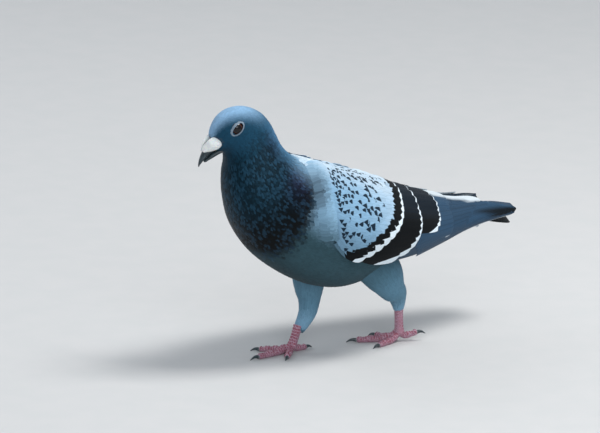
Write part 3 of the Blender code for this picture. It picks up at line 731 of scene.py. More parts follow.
class Look:
    """A material with a Principled shader, and short calls that add nodes to it."""

    def __init__(self, name, **constants):
        self.material = bpy.data.materials.new(name)
        self.material.use_nodes = True
        self.tree = self.material.node_tree
        self.shader = self.tree.nodes["Principled BSDF"]
        for label, value in constants.items():
            self.shader.inputs[label.replace("_", " ")].default_value = value

    def feed(self, socket, value):
        """Sets a socket to a number or links it."""
        if isinstance(value, Value):
            self.tree.links.new(value.socket, socket)
        else:
            socket.default_value = value

    def node(self, kind, settings=None, inputs=None, output=0, stops=None):
        """One output of a new node of that kind."""
        made = self.tree.nodes.new(kind)
        for label, value in (settings or {}).items():
            setattr(made, label, value)
        for place, colour in stops or ():
            if place in (0, 1):
                made.color_ramp.elements[place].color = (*colour, 1)
            else:
                made.color_ramp.elements.new(place).color = (*colour, 1)
        for label, value in (inputs or {}).items():
            self.feed(made.inputs[label], value)
        return Value(self, made.outputs[output])

    def math(self, operation, *values):
        """A Math node over numbers or values."""
        return self.node("ShaderNodeMath", {"operation": operation}, dict(enumerate(values)))

    def clip(self, value, low=0.0, high=1.0, out_low=0.0, out_high=1.0):
        """A value mapped smoothly from one range onto another."""
        return self.node("ShaderNodeMapRange", {"interpolation_type": "SMOOTHSTEP"},
                         {0: value, 1: low, 2: high, 3: out_low, 4: out_high})

    def mix(self, factor, first, second, blend="MIX"):
        """Two colours mixed."""
        colours = {6: first, 7: second}
        for key, value in colours.items():
            if not isinstance(value, Value):
                colours[key] = (*value, 1)
        return self.node("ShaderNodeMix", {"data_type": "RGBA", "blend_type": blend}, {0: factor, **colours},
                         output=2)

    def noise(self, scale, detail=3.0, stretch=(1, 1, 1)):
        """Noise over the object's own coordinates."""
        place = self.node("ShaderNodeTexCoord", output=3)
        place = self.node("ShaderNodeMapping", None, {0: place, 3: stretch})
        return self.node("ShaderNodeTexNoise", None, {"Vector": place, "Scale": scale, "Detail": detail})

    def bump(self, height, distance, strength=1.0):
        """Height in shares of a distance, fed to the shader's normal."""
        made = self.node("ShaderNodeBump", None,
                         {"Strength": strength, "Distance": distance, "Height": height})
        self.set("Normal", made)

    def set(self, label, value):
        """Feeds an input of the shader."""
        self.feed(self.shader.inputs[label], value)


    def beside(self, value, output):
        """Another output of the node that a value comes from."""
        return Value(self, value.socket.node.outputs[output])

    def tint(self):
        """The piece's own colour at each point."""
        return self.node("ShaderNodeAttribute", {"attribute_name": "Tint"})

    def split_map(self):
        """The two numbers of the piece's map."""
        place = self.node("ShaderNodeUVMap", {"uv_map": "Vane"})
        first = self.node("ShaderNodeSeparateXYZ", None, {0: place})
        return first, self.beside(first, 1)


# A place on a feather: the feather's chance, how far the place lies ahead of a line across the wing, its
# share of the way across the wing, and its distances from the shaft and from the root, each as a share.
Vane = namedtuple("Vane", "chance ahead t off_shaft p")


def plumage_look(name, barb, strength, roughness, sheen=0.06, pattern=None, contrast=0.14):
    """Feathers: the tint of the place, a shaft line, barbs that slant to the tip, and a pattern.

    The barbs are a sine of the place along the vane plus the distance from the shaft.
    """
    look = Look(name, Sheen_Weight=sheen, Sheen_Roughness=0.4, Specular_IOR_Level=0.12)
    tint = look.tint()
    gloss = look.beside(tint, 3)
    marks = look.node("ShaderNodeAttribute", {"attribute_name": "Marks"}, output=1)
    chance = look.node("ShaderNodeSeparateXYZ", None, {0: marks})
    q, p = look.split_map()
    off_shaft = look.math("ABSOLUTE", (q - 0.5) * 2)
    wave = look.math("SINE", (p * 1.6 - off_shaft * 0.7 + chance * 3.0) * barb)
    fine = look.noise(900, 2)
    grain = look.clip(wave * 0.5 + fine * 0.7, 0.2, 1.0, 0.0, contrast)
    colour = look.mix(grain, tint, (0.02, 0.03, 0.04), "MULTIPLY")
    if pattern:
        vane = Vane(chance, look.beside(chance, 1), look.beside(chance, 2), off_shaft, p)
        colour = pattern(look, colour, vane)
    shaft = (1 - look.clip(off_shaft, 0.02, 0.07)) * 0.25
    colour = look.mix(shaft, colour, (0.1, 0.12, 0.14), "MULTIPLY")
    look.set("Base Color", colour)
    look.set("Roughness", roughness - gloss * 0.2 + fine * 0.1)
    look.set("Metallic", gloss * 0.35)
    look.bump(wave * 0.5 + fine * 0.5, 0.0001, strength)
    return look.material


def spot_pattern(look, colour, vane):
    """A dark wedge near the tip of the feathers that are marked as spotted."""
    c = palette()
    wedge = look.clip((vane.p - 0.5) * 1.8 - vane.off_shaft, 0.0, 0.1) * (1 - look.clip(vane.p, 0.88, 0.94))
    return look.mix(wedge * look.clip(vane.chance, 0.985, 0.995), colour, mixed(c.bar, c.slate, 0.3))


def stripe_pattern(narrow, widen, bar=None, spotted=False):
    """A pale stripe behind a line across the wing, with a tooth on each feather, and a dark bar ahead.

    Both are bands of the distance ahead of the line, moved a little by each feather's chance.
    """
    def pattern(look, colour, vane):
        """The stripe and the bar on one feather."""
        ahead = vane.ahead + look.math("SINE", vane.chance * 40) * 0.5
        low = look.clip(vane.t, 0.84, 0.98)
        width = (narrow + widen * vane.t) * (1 - low * 0.65)
        if spotted:
            colour = spot_pattern(look, colour, vane)
        if bar:
            dark = 1 - look.clip(ahead - width - bar * (1.3 - vane.off_shaft * 0.7) - low * 5, -0.3, 0.3)
            colour = look.mix(dark, colour, palette().bar)
        pale = 1 - look.clip(ahead - width * (0.25 + vane.off_shaft * (0.8 + vane.t * 0.8)), -0.25, 0.25)
        return look.mix(pale, colour, palette().fringe)
    return pattern


def hackle_pattern(look, colour, vane):
    """Lighter blue tips on some of the hackles, which streak the dark neck."""
    tip = look.clip(vane.p, 0.45, 0.8) * look.clip(vane.chance, 0.45, 0.9) * (1 - vane.off_shaft * 0.6)
    return look.mix(tip * 0.14, colour, palette().nape)


def edge_pattern(look, colour, vane):
    """A thin pale rim round the end of a long feather."""
    rim = look.clip(vane.off_shaft, 0.8, 0.95) * look.clip(vane.p, 0.3, 0.5)
    rim = rim * (1 - look.clip(vane.p, 0.94, 0.96) * 0.7)
    return look.mix(rim * 0.55, colour, palette().fringe)


def skin_look():
    """Bare skin under the coat: the plumage's own tint with fine pores."""
    look = Look("Skin", Roughness=0.7)
    tint = look.tint()
    pores = look.noise(1800, 3)
    shade = look.clip(pores, 0.35, 0.7, 0.0, 0.25)
    look.set("Base Color", look.mix(shade, tint, (0.3, 0.32, 0.34), "MULTIPLY"))
    look.bump(pores, 0.0002, 0.4)
    return look.material


def horn_look():
    """Dark horn of the bill and the claws: paler streaks along it, and greyer towards the root."""
    horn = palette().horn
    look = Look("Horn", Roughness=0.38, Specular_IOR_Level=0.5, Coat_Weight=0.25, Coat_Roughness=0.3)
    along = look.split_map()[1]
    streaks = look.noise(700, 4, (1, 1, 0.35))
    pale = tuple(min(1, c * 3 + 0.02) for c in horn)
    colour = look.mix(look.clip(streaks, 0.45, 0.75, 0.0, 0.6), horn, pale)
    colour = look.mix(look.clip(along, 0.0, 0.22, 0.5, 0.0), colour, (0.3, 0.3, 0.3))
    look.set("Base Color", colour)
    look.set("Roughness", 0.34 + streaks * 0.2)
    look.bump(streaks, 0.0002, 0.35)
    return look.material


def cere_look():
    """Chalky, powdery pads with a fine wrinkled grain."""
    look = Look("Cere", Roughness=0.85, Specular_IOR_Level=0.2, Subsurface_Weight=0.08,
                Subsurface_Scale=0.002)
    powder, folds = look.noise(1400, 5), look.noise(420, 3, (1, 0.6, 1.6))
    chalk = look.clip(powder * 0.5 + folds * 0.5, 0.36, 0.62)
    colour = look.mix(chalk, (0.74, 0.76, 0.78), palette().cere)
    look.set("Base Color", colour)
    look.bump(powder * 0.4 + folds, 0.0004, 0.6)
    return look.material


def eye_look():
    """Eyeball: rings of colour by the distance from the pupil's middle, with fine spokes in the iris."""
    look = Look("Eye", Roughness=0.12, Specular_IOR_Level=0.35, Coat_Weight=0.25, Coat_Roughness=0.02,
                IOR=1.4)
    out = look.split_map()[1]
    spokes = look.noise(2600, 2)
    iris = look.mix(look.clip(spokes, 0.35, 0.65), palette().iris, (0.055, 0.018, 0.012))
    iris = look.mix(look.clip(out, 0.2, 0.235, 0.35, 0.0), iris, (0.12, 0.05, 0.03))
    ring = look.clip(out, 0.185, 0.2)
    colour = look.mix(ring, (0.002, 0.002, 0.003), iris)
    colour = look.mix(look.clip(out, 0.3, 0.335), colour, (0.012, 0.008, 0.008))
    look.set("Base Color", colour)
    return look.material


def scale_look():
    """Leg scales: the piece's own crimson bands, mottled darker, with pale seams between small scales."""
    look = Look("Leg_Scales", Roughness=0.45, Specular_IOR_Level=0.45, Subsurface_Weight=0.05,
                Subsurface_Scale=0.002)
    tint = look.tint()
    mottle, fine = look.noise(500, 4), look.noise(2200, 3)
    place = look.node("ShaderNodeTexCoord", output=3)
    cells = look.node("ShaderNodeTexVoronoi", {"feature": "DISTANCE_TO_EDGE"},
                      {"Vector": place, "Scale": 900})
    colour = look.mix(look.clip(mottle, 0.4, 0.7, 0.0, 0.7), tint, (0.2, 0.04, 0.07))
    seams = look.clip(cells, 0.02, 0.12, 0.8, 0.0) * look.clip(mottle, 0.35, 0.55)
    colour = look.mix(seams, colour, palette().scale_edge)
    look.set("Base Color", colour)
    look.set("Roughness", 0.4 + fine * 0.25)
    look.bump(fine * 0.4 + look.clip(cells, 0.0, 0.1) * 0.6, 0.0003, 0.45)
    return look.material


def floor_look():
    """Matt pale studio floor with a faint grain."""
    look = Look("Studio_Floor", Roughness=0.75, Specular_IOR_Level=0.2)
    grain = look.noise(40, 4)
    look.set("Base Color", look.mix(look.clip(grain, 0.3, 0.7), (0.60, 0.605, 0.605), (0.615, 0.615, 0.615)))
    return look.material


MATERIALS = {}


def finish_of(name):
    """The material of that name, made once."""
    makers = {
        "head": lambda: plumage_look("Head_Plumage", 26, 0.2, 0.62, contrast=0.08),
        "neck": lambda: plumage_look("Neck_Plumage", 22, 0.5, 0.5, 0.0, hackle_pattern, 0.3),
        "body": lambda: plumage_look("Body_Plumage", 34, 0.3, 0.62, contrast=0.1),
        "mantle": lambda: plumage_look("Mantle_Plumage", 34, 0.3, 0.62, pattern=spot_pattern, contrast=0.1),
        "shield": lambda: plumage_look("Shield_Plumage", 40, 0.4, 0.6,
                                       pattern=stripe_pattern(2.2, 4.2, 6.2, True)),
        "first": lambda: plumage_look("First_Row_Plumage", 80, 0.4, 0.58,
                                      pattern=stripe_pattern(2.2, 4.2, 6.2)),
        "second": lambda: plumage_look("Second_Row_Plumage", 90, 0.4, 0.55, sheen=0.05,
                                       pattern=stripe_pattern(2.0, 4.0)),
        "third": lambda: plumage_look("Third_Row_Plumage", 90, 0.4, 0.55, sheen=0.05,
                                      pattern=stripe_pattern(2.6, 0)),
        "flight": lambda: plumage_look("Flight_Plumage", 110, 0.5, 0.5, sheen=0.1, pattern=edge_pattern),
        "tail": lambda: plumage_look("Tail_Plumage", 110, 0.5, 0.5, sheen=0.1),
        "skin": skin_look, "horn": horn_look, "cere": cere_look, "eye": eye_look,
        "scales": scale_look, "floor": floor_look,
    }
    if name not in MATERIALS:
        MATERIALS[name] = makers[name]()
    return MATERIALS[name]


# ---------------------------------------------------------------------------------------------
# Skin with lids
# ---------------------------------------------------------------------------------------------
RING_LONG, RING_SHORT = 5.95, 3.6  # half axes of the bare ring, along and across the eye's slant
OPENING_LONG, OPENING_SHORT, OPENING_DROP = 4.9, 2.6, 0.65  # of the opening, and its shift from the lid
LID_THICK, LID_ROOT = 0.5, 0.9  # how far the lids swell, and how far they reach past the ring into the head
LID_COLUMNS, LID_OUTER, LID_INNER = 96, 22, 10  # points round the eye, over the lid and back under it
EYE_SINK = 1.2  # height over the eye's middle of the skin behind the ball
CORNEA = 0.22  # how far the cornea bulges from the ball
EYE_SLANT = math.radians(48)  # how far the eye's long axis leans back from the level
EYE_LEAN, EYE_LIFT = -0.14, 0.06  # how much the eye's outward axis points forward and up


def eye_frame(side):
    """Middle, outward axis, forward and up directions of an eye, turned with the head."""
    centre = turned(np.array([side * EYE_SIDE, -EYE_FORWARD, EYE_UP], float), 1.0)
    turn = lambda v: turned(v + [0, -TURN_PIVOT, 0], 1.0) - [0, -TURN_PIVOT, 0]
    out = unit(turn(np.array([side, EYE_LEAN, EYE_LIFT])))
    ahead = turn(np.array([0, -1.0, 0]))
    ahead = unit(ahead - out * np.dot(ahead, out))
    up = np.cross(out, ahead) * side * -1
    up *= np.sign(up[2])
    return centre, out, ahead, up


def eye_place(point, side):
    """Height over an eye's middle, and the places along and across the eye's slant."""
    centre, out, ahead, up = eye_frame(side)
    offset = point - centre
    f, u = offset @ ahead, offset @ up
    cosine, sine = math.cos(EYE_SLANT), math.sin(EYE_SLANT)
    return offset @ out, u * sine - f * cosine, f * sine + u * cosine


def sunk_at_eyes(points):
    """Skin pushed in along each eye's axis, behind the eyeball, inside the bare ring."""
    for side in (1, -1):
        height, l, s = eye_place(points, side)
        out = eye_frame(side)[1]
        inside = 1 - smooth(np.hypot(l / RING_LONG, s / RING_SHORT), 0.86, 0.98)
        target = np.where(height > 0, height + (EYE_SINK - height) * inside, height)
        points = points + (target - height)[..., None] * out
    return points


def lid_rings(side):
    """A closed ring round the eye: lids that follow the ball at the opening and sink into the head outside.

    Its section is an outer line, from the opening's rim over the lid's swell to the ring's edge, and an
    inner line back under it. Both rims are ellipses with the same slant.
    """
    angle = circle(LID_COLUMNS)[:, None]
    w = np.concatenate([np.linspace(0, 1, LID_OUTER), np.linspace(1, 0, LID_INNER)])[None, :]
    under = (np.arange(LID_OUTER + LID_INNER) >= LID_OUTER)[None, :]
    l = np.cos(angle) * (OPENING_LONG + (RING_LONG + LID_ROOT - OPENING_LONG) * w)
    s = np.sin(angle) * (OPENING_SHORT + (RING_SHORT + LID_ROOT - OPENING_SHORT) * w) - OPENING_DROP * (1 - w)
    centre, out, ahead, up = eye_frame(side)
    cosine, sine = math.cos(EYE_SLANT), math.sin(EYE_SLANT)
    f, u = s * sine - l * cosine, l * sine + s * cosine
    radius = np.hypot(l, s)
    ball = np.sqrt(np.maximum(EYE_RADIUS**2 - radius**2, 1.0))
    head = head_height(side, f, u) - 0.1
    swell = LID_THICK * np.sin(math.pi * np.minimum(w + 0.3, 1)) ** 0.8
    lid = np.maximum(ball, head - 0.15 * (1 - w)) + swell - 1.2 * smooth(w, 0.8, 1)
    rim = smooth(w, 0.0, 0.2)
    outer = (ball + 0.02) * (1 - rim) + lid * rim
    inner = np.minimum(ball, head) - 1.6
    height = np.where(under, inner, outer)
    points = centre + height[..., None] * out + f[..., None] * ahead + u[..., None] * up
    return points, w + 0 * angle


def head_height(side, forward, upward):
    """Height of the head's coat over an eye's plane, as a quadratic fitted to the head round the eye."""
    centre, out, ahead, up = eye_frame(side)
    offset = BODY.table[..., 0:3].reshape(-1, 3) - centre
    h, f, u = offset @ out, offset @ ahead, offset @ up
    near = (np.hypot(f, u) < 8.5) & (h > 0)
    terms = lambda f, u: np.stack([1 + 0 * f, f, u, f * f, f * u, u * u], -1)
    fit = np.linalg.lstsq(terms(f[near], u[near]), h[near], rcond=None)[0]
    return terms(forward, upward) @ fit


def crowded(start, end, count, centres, width, strength):
    """Numbers from start to end, packed closer around each centre."""
    dense = np.linspace(start, end, 4001)
    weight = 1 + strength * sum(np.exp(-((dense - c) / width) ** 4) for c in centres)
    total = running((weight[1:] + weight[:-1]) / 2)
    return np.interp(np.linspace(0, total[-1], count), total, dense)


def coat_depth(station):
    """How far the skin lies inside the coat's tips."""
    sizes = coat_sizes()
    return sizes.body_coat + (sizes.head_coat - sizes.body_coat) * smooth(station, 9.5, 12.5)


def thigh_depth(a):
    """How far the skin lies inside the coat's tips on a thigh: thinner towards the shank."""
    return 1.3 - 0.9 * a


def skin_mesh():
    """The body surface drawn in by the coat's depth, finest round the eyes, and its tint."""
    stations = crowded(BODY_LAST, 0, 260, (15.0,), 1.1, 4)
    angles = crowded(0, 1, 240, (0.2, 0.8), 0.055, 2.6)[:-1]
    a, b = np.meshgrid(1 - stations / BODY_LAST, angles, indexing="ij")
    point, normal, _, _ = BODY.at(a, b)
    point = point - normal * coat_depth(BODY_LAST * (1 - a))[..., None]
    point = sunk_at_eyes(point)
    tint = body_tint(a, b, np.full(a.shape, 0.5))
    tint[..., :3] *= 0.8
    return point, tint


def joined(skin, part):
    """The skin with a part made one with it."""
    union = skin.modifiers.new("with_" + part.name, "BOOLEAN")
    union.operation = "UNION"
    union.solver = "EXACT"
    union.object = part
    with bpy.context.temp_override(object=skin, active_object=skin, selected_objects=[skin]):
        bpy.ops.object.modifier_apply(modifier=union.name)
    bpy.data.objects.remove(part)


def tint_again(mesh, sources):
    """Gives each point of a joined mesh the tint of the source point at its place, or of the nearest one.

    Places are matched by their coordinates in steps of 2 micrometres, packed into one number each.
    """
    def packed(points):
        """One number for each point."""
        steps = np.round(points / 0.002).astype(np.int64) + 2**20
        return (steps[:, 0] << 42) | (steps[:, 1] << 21) | steps[:, 2]
    points = np.concatenate([v.reshape(-1, 3) for v, _ in sources])
    tints = np.concatenate([np.asarray(t).reshape(-1, 4) for _, t in sources])
    now = np.empty(len(mesh.vertices) * 3, np.float32)
    mesh.vertices.foreach_get("co", now)
    now = now.reshape(-1, 3).astype(float) / MM - [0, BACK / MM, 0]
    keys = packed(points)
    order = np.argsort(keys, kind="stable")
    wanted = packed(now)
    found = order[np.minimum(np.searchsorted(keys[order], wanted), len(order) - 1)]
    missed = np.flatnonzero(keys[found] != wanted)
    found[missed] = nearest(now[missed], points, max(1, len(missed) // 200))
    mesh.attributes["Tint"].data.foreach_set("color", tints[found].astype(np.float32).ravel())


def ring_faces(rows, columns):
    """Quads of a ring of closed sections."""
    r, c = np.meshgrid(np.arange(rows), np.arange(columns), indexing="ij")
    m, n = (r + 1) % rows, (c + 1) % columns
    return np.stack([r * columns + c, r * columns + n, m * columns + n, m * columns + c], -1).reshape(-1, 4)


def pad_rings(side):
    """One pad of the cere: rings along a line from the ridge of the bill back over the face.

    The line curves outward behind. A ring is an ellipse across it, low in front and full behind, and the
    pads meet in a crease at the midline.
    """
    lat = np.linspace(0.03, math.pi - 0.03, 56)[:, None]
    angle = circle(40)[None, :]
    w = (1 - np.cos(lat)) / 2
    line = CERE_FRONT + (CERE_REAR - CERE_FRONT) * w + np.array([1.0, 0, 0.9]) * (np.sin(math.pi * w) * 0.8)
    tall = np.array([0, -math.sin(CERE_PITCH), math.cos(CERE_PITCH)])
    level = np.array([0, -math.cos(CERE_PITCH), -math.sin(CERE_PITCH)])
    across = np.array([math.cos(CERE_YAW), 0, 0]) + math.sin(CERE_YAW) * level
    full = np.sin(lat) ** 0.75
    height = full * (0.56 + 0.5 * w) * CERE_HEIGHT / 2 * (1 + 0.04 * np.sin(5 * angle + 4 * lat))
    depth = full * (0.4 + 0.52 * smooth(w, 0.1, 0.7)) * CERE_WIDTH / 2
    rings = (line[:, None] + (height * np.cos(angle))[..., None] * tall
             + (depth * np.sin(angle))[..., None] * across)
    rings[..., 0] -= 0.55 * np.maximum(height * np.cos(angle), 0)
    rings[..., 0] = np.maximum(rings[..., 0], 0.12)
    return turned(rings * [side, 1, 1], 1.0)


class PIGEON_OT_skin(bpy.types.Operator):
    """One skin for head, neck, trunk and thighs, with the lids formed in it"""
    bl_idname = "pigeon.skin"
    bl_label = "Skin"

    def execute(self, context):
        c = palette()
        point, tint = skin_mesh()
        faces = turned_out(point, tube_faces(*point.shape[:2]))
        skin = new_piece("skin", point, faces, finish_of("skin"), tint)
        sources = [(point, tint)]
        for word, rails, side in THIGHS:
            sheet = closed_sheet(thigh_grid(rails, side))
            a, b = np.meshgrid(np.linspace(0, 1, 40), np.arange(36) / 36, indexing="ij")
            point, normal, _, _ = sheet.at(a, b)
            point = point - normal * thigh_depth(a)[..., None]
            tint = np.broadcast_to(np.array([*(0.75 * np.array(c.thigh)), 0]), (*a.shape, 4))
            joined(skin, new_piece(word + "_thigh_skin", point, turned_out(point, tube_faces(40, 36)),
                                   finish_of("skin"), tint))
            sources.append((point, tint))
        for word, side in SIDES:
            point, w = lid_rings(side)
            faces = ring_faces(*w.shape)
            corner = point.reshape(-1, 3)[faces[8]]
            if np.cross(corner[1] - corner[0], corner[2] - corner[0]) @ eye_frame(side)[1] < 0:
                faces = faces[:, ::-1]
            shade = mixed(c.lid, np.asarray(c.face) * 0.8, smooth(w, 0.74, 0.9))
            shade = mixed(shade, np.asarray(c.lid) * 0.3, 1 - smooth(w, 0.02, 0.12))
            tint = with_gloss(shade)
            joined(skin, new_piece(word + "_lids", point, [faces], finish_of("skin"), tint))
            sources.append((point, tint))
        tint_again(skin.data, sources)
        keep(skin, "body_feathers", "head", "neck", "trunk", "left_thigh", "right_thigh")
        return {"FINISHED"}


# ---------------------------------------------------------------------------------------------
# Body coat
# ---------------------------------------------------------------------------------------------
SHOULDER_REACH = 13  # how far ahead of the wing's front edge its covering feathers begin
SHOULDER_LAP, SHOULDER_TOP_LAP = 0.1, 0.4  # stations of the wing that they cover, and more at the top
SCAPULAR_LAST, SCAPULAR_LAP = 3.0, 0.07  # the last station and the share of the wing's face they cover


def body_spacing(a, b):
    """Distance between feathers: smallest on the face, widest on the body."""
    sizes = coat_sizes()
    station, _ = body_place(a, b)
    spacing = sizes.body_spacing + (sizes.neck_spacing - sizes.body_spacing) * smooth(station, 5.5, 8.5)
    return spacing + (sizes.head_spacing - sizes.neck_spacing) * smooth(station, 10.2, 13.0)


def under_wing(a, b):
    """Where a folded wing hides the body."""
    station, around = body_place(a, b)
    return (station < 5.4) & (station > 1.5) & (around > 0.13) & (around < 0.27)


def clear_of_bare_parts(a, b):
    """Places outside the eye rings and the pads of the cere."""
    point, _, _, _ = BODY.at(a, b)
    free = np.ones(len(a), bool)
    for side in (1, -1):
        height, l, s = eye_place(point, side)
        centre, _, forward, _ = eye_frame(side)
        ahead = (forward * (point - centre)).sum(-1)
        room = 0.15 + 0.9 * (ahead > 0)
        free &= ~((np.hypot(l / (RING_LONG + room), s / (RING_SHORT + room)) < 1) & (height > 0))
        pad = pad_rings(side)
        middle = pad.mean(1)
        size = np.linalg.norm(pad - middle[:, None], axis=-1).max(1)
        gap = np.linalg.norm(point[:, None] - middle[None], axis=-1) - size[None]
        free &= gap.min(1) > -0.4
    return free


def body_coat(name, slot, low_station, high_station, look, seed, stretch=3.6, narrow=0.95):
    """Feathers of one length of the body as one piece."""
    inside = lambda a, b: ((BODY_LAST * (1 - a) >= low_station) & (BODY_LAST * (1 - a) <= high_station)
                           & ~under_wing(a, b))
    a, b, first, second = BODY.spread(body_spacing, inside, seed)
    free = clear_of_bare_parts(a, b)
    a, b, first, second = (v[free] for v in (a, b, first, second))
    chance = noise(first, second)
    spacing = body_spacing(a, b)
    depth = coat_depth(BODY_LAST * (1 - a))
    length = spacing * stretch * (0.9 + 0.2 * chance)
    built = vanes(BODY, a, b, first, second, length, spacing * narrow, -0.55 * depth, -0.04 * depth,
                  turn=aside(first, second, 0.2), thick=0.03 * spacing)
    shift = 0.7 * length / np.maximum(np.linalg.norm(BODY.at(a, b)[2], axis=-1), 1)
    return coat_piece(name, slot, built, look, body_tint(np.minimum(a + shift, 1), b, chance), chance)


class PIGEON_OT_body_coat(bpy.types.Operator):
    """Small feathers of the head, the neck hackles and the feathers of the trunk"""
    bl_idname = "pigeon.body_coat"
    bl_label = "Head, neck and body feathers"

    def execute(self, context):
        body_coat("face_feathers", "head_feathers", 14.0, BODY_LAST, "head", 1, 3.3)
        body_coat("head_feathers", "head_feathers", HEAD_FROM, 14.0, "head", 2, 3.4)
        body_coat("neck_hackles", "neck_feathers", NECK_FROM, HEAD_FROM, "neck", 3, 4.4, 0.85)
        body_coat("breast_feathers", "body_feathers", 4.6, NECK_FROM, "body", 4)
        body_coat("trunk_feathers", "body_feathers", 0, 4.6, "body", 5)
        return {"FINISHED"}


def on_body(points):
    """The nearest point of the body's surface to each point, and its normal."""
    solid, normals = (BODY.table[::2, ::2, k:k + 3].reshape(-1, 3) for k in (0, 3))
    near = nearest(points, solid)
    return solid[near], normals[near]


def eased(points, turns=6):
    """A row of points smoothed between its ends by repeated weighted means."""
    for _ in range(turns):
        points = np.concatenate([points[:1], (points[:-2] + 2 * points[1:-1] + points[2:]) / 4, points[-1:]])
    return points


def bridge(first, middle, last, steps=21):
    """Parabolas through three rows of points: row by row from the first to the last."""
    share = np.linspace(0, 1, steps)[:, None, None]
    control = 2 * middle - (first + last) / 2
    return first * (1 - share) ** 2 + control * 2 * share * (1 - share) + last * share**2


def shoulder_sheet():
    """A surface from the breast's side over the wing's front edge onto the wing: a goes back, b goes down."""
    t = np.linspace(0.02, 0.96, 41)
    edge, edge_normal, _, _ = WING.at(0 * t, t)
    lap = SHOULDER_LAP + SHOULDER_TOP_LAP * (1 - smooth(t, 0.05, 0.35))
    back, back_normal, _, _ = WING.at(lap / WING_LAST, t)
    front, front_normal = on_body(edge + np.array([0, -SHOULDER_REACH, 0]) - edge_normal * 4)
    front = eased(front) - eased(front_normal) * 0.5
    back = back + back_normal * 1.25
    return facing(Sheet(bridge(front, (front + back) / 2 + edge_normal * 1.5, back)), edge_normal)


def scapular_sheet():
    """A surface from the back over the wing's top edge onto the wing: a goes back, b goes out and down."""
    station = np.linspace(-0.9, SCAPULAR_LAST, 61)
    edge, edge_normal, _, _ = WING.at(station / WING_LAST, 0 * station)
    low, low_normal, _, _ = WING.at(station / WING_LAST, 0 * station + SCAPULAR_LAP)
    inner, inner_normal = on_body(edge + np.array([-9.0, 0, 1.0]))
    held = smooth(station, -0.9, 0.2)[:, None]
    rows = [eased(inner) - eased(inner_normal) * 0.4]
    for point, normal, lift in ((edge, edge_normal, 0.7), (low, low_normal, 1.0)):
        ground, ground_normal = on_body(point)
        rows.append(eased((ground + ground_normal * 0.2) * (1 - held) + (point + normal * lift) * held))
    return facing(Sheet(np.swapaxes(bridge(*rows), 0, 1)), edge_normal[:, None])


class PIGEON_OT_shoulders(bpy.types.Operator):
    """Feathers of the breast's sides, the mantle and the scapulars that lie over the edge of each wing"""
    bl_idname = "pigeon.shoulders"
    bl_label = "Shoulder feathers"

    def execute(self, context):
        for name, sheet, seed in (("shoulder_feathers", shoulder_sheet(), 7),
                                  ("scapulars", scapular_sheet(), 8)):
            a, b, first, second = sheet.spread(2.0, None, seed)
            chance = noise(first, second)
            built = vanes(sheet, a, b, first, second, 7.5 + 2 * chance, 2.1, -0.5, 0.15,
                          turn=aside(first, second, 0.45), stop=1.08, thick=0.06)
            place, _, _, _ = sheet.at(np.minimum(a + 0.2, 1), b)
            tint = self.tint(place, a, b, chance, name)
            spot = (noise(first * 5, second * 3) < 0.3) * (b > 0.5) * (a > 0.42) * (name == "scapulars")
            pair(name, "body_feathers", built, "mantle", tint, chance, spot)
        return {"FINISHED"}

    def tint(self, place, a, b, chance, name):
        """The body's own tint at the near end, passing to the wing shield's at the far end."""
        c = palette()
        near = nearest(place, BODY.table[::2, ::2, 0:3].reshape(-1, 3))
        columns = BODY.table[::2, ::2].shape[1]
        body = body_tint(near // columns / (BODY_ROWS // 2), near % columns / (columns - 1), chance)
        if name == "scapulars":
            shield = np.broadcast_to(mixed(c.shield, c.fringe, 0.5), (len(a), 3))
            share = smooth(b, 0.2, 0.8) * smooth(a, 0.15, 0.4)
        else:
            shield, share = shield_tint(0 * a, b, 0 * a + 0.5)[:, :3], smooth(a, 0.3, 0.95)
            share = share * (1 - 0.95 * smooth(b, 0.5, 0.85))
        return mixed(body, with_gloss(shield), share)


class PIGEON_OT_thigh_coat(bpy.types.Operator):
    """Feathers of both thighs"""
    bl_idname = "pigeon.thigh_coat"
    bl_label = "Thigh feathers"

    def execute(self, context):
        c = palette()
        for word, rails, side in THIGHS:
            sheet = closed_sheet(thigh_grid(rails, side))
            spacing = lambda a, b: 2.5 - 1.2 * smooth(a, 0.3, 1)
            a, b, first, second = sheet.spread(spacing, lambda a, b: a < 0.93, 6 + side)
            chance = noise(first, second)
            gap = spacing(a, b)
            built = vanes(sheet, a, b, first, second, gap * 3.5, gap * 0.95, -0.6 * thigh_depth(a), -0.05,
                          turn=aside(first, second, 0.3), stop=0.99 + 0.02 * chance, thick=0.07)
            # Darker at the top, in the shaded underparts colour where the thigh meets the body: painted
            # shade. Paler towards the lower end
            shade = mixed(c.shaded_belly, c.thigh, 0.45 + 0.55 * smooth(a, 0.0, 0.25))
            shade = mixed(shade, c.mantle, 0.45 * smooth(a, 0.5, 0.9))
            coat_piece(word + "_thigh_feathers", "thigh_feathers", built, "body",
                       plain_tint(shade, chance, 0.06), chance)
        return {"FINISHED"}


# ---------------------------------------------------------------------------------------------
# Wings
# ---------------------------------------------------------------------------------------------
def shield_tint(station, t, chance):
    """Ground colour of the wing shield: ash grey, paler towards the top edge, and darker low down as painted
    shade.
    """
    c = palette()
    tint = mixed(c.shield, c.fringe, 0.42 * (1 - smooth(t, 0.0, 0.35)) + 0.25 * smooth(station, 1.2, 2.6))
    # Painted shade: the lower part of the shield mixed towards the shaded underparts colour
    tint = mixed(tint, c.shaded_belly, 0.3 * smooth(t, 0.6, 1.0))
    return plain_tint(tint, chance, 0.06)


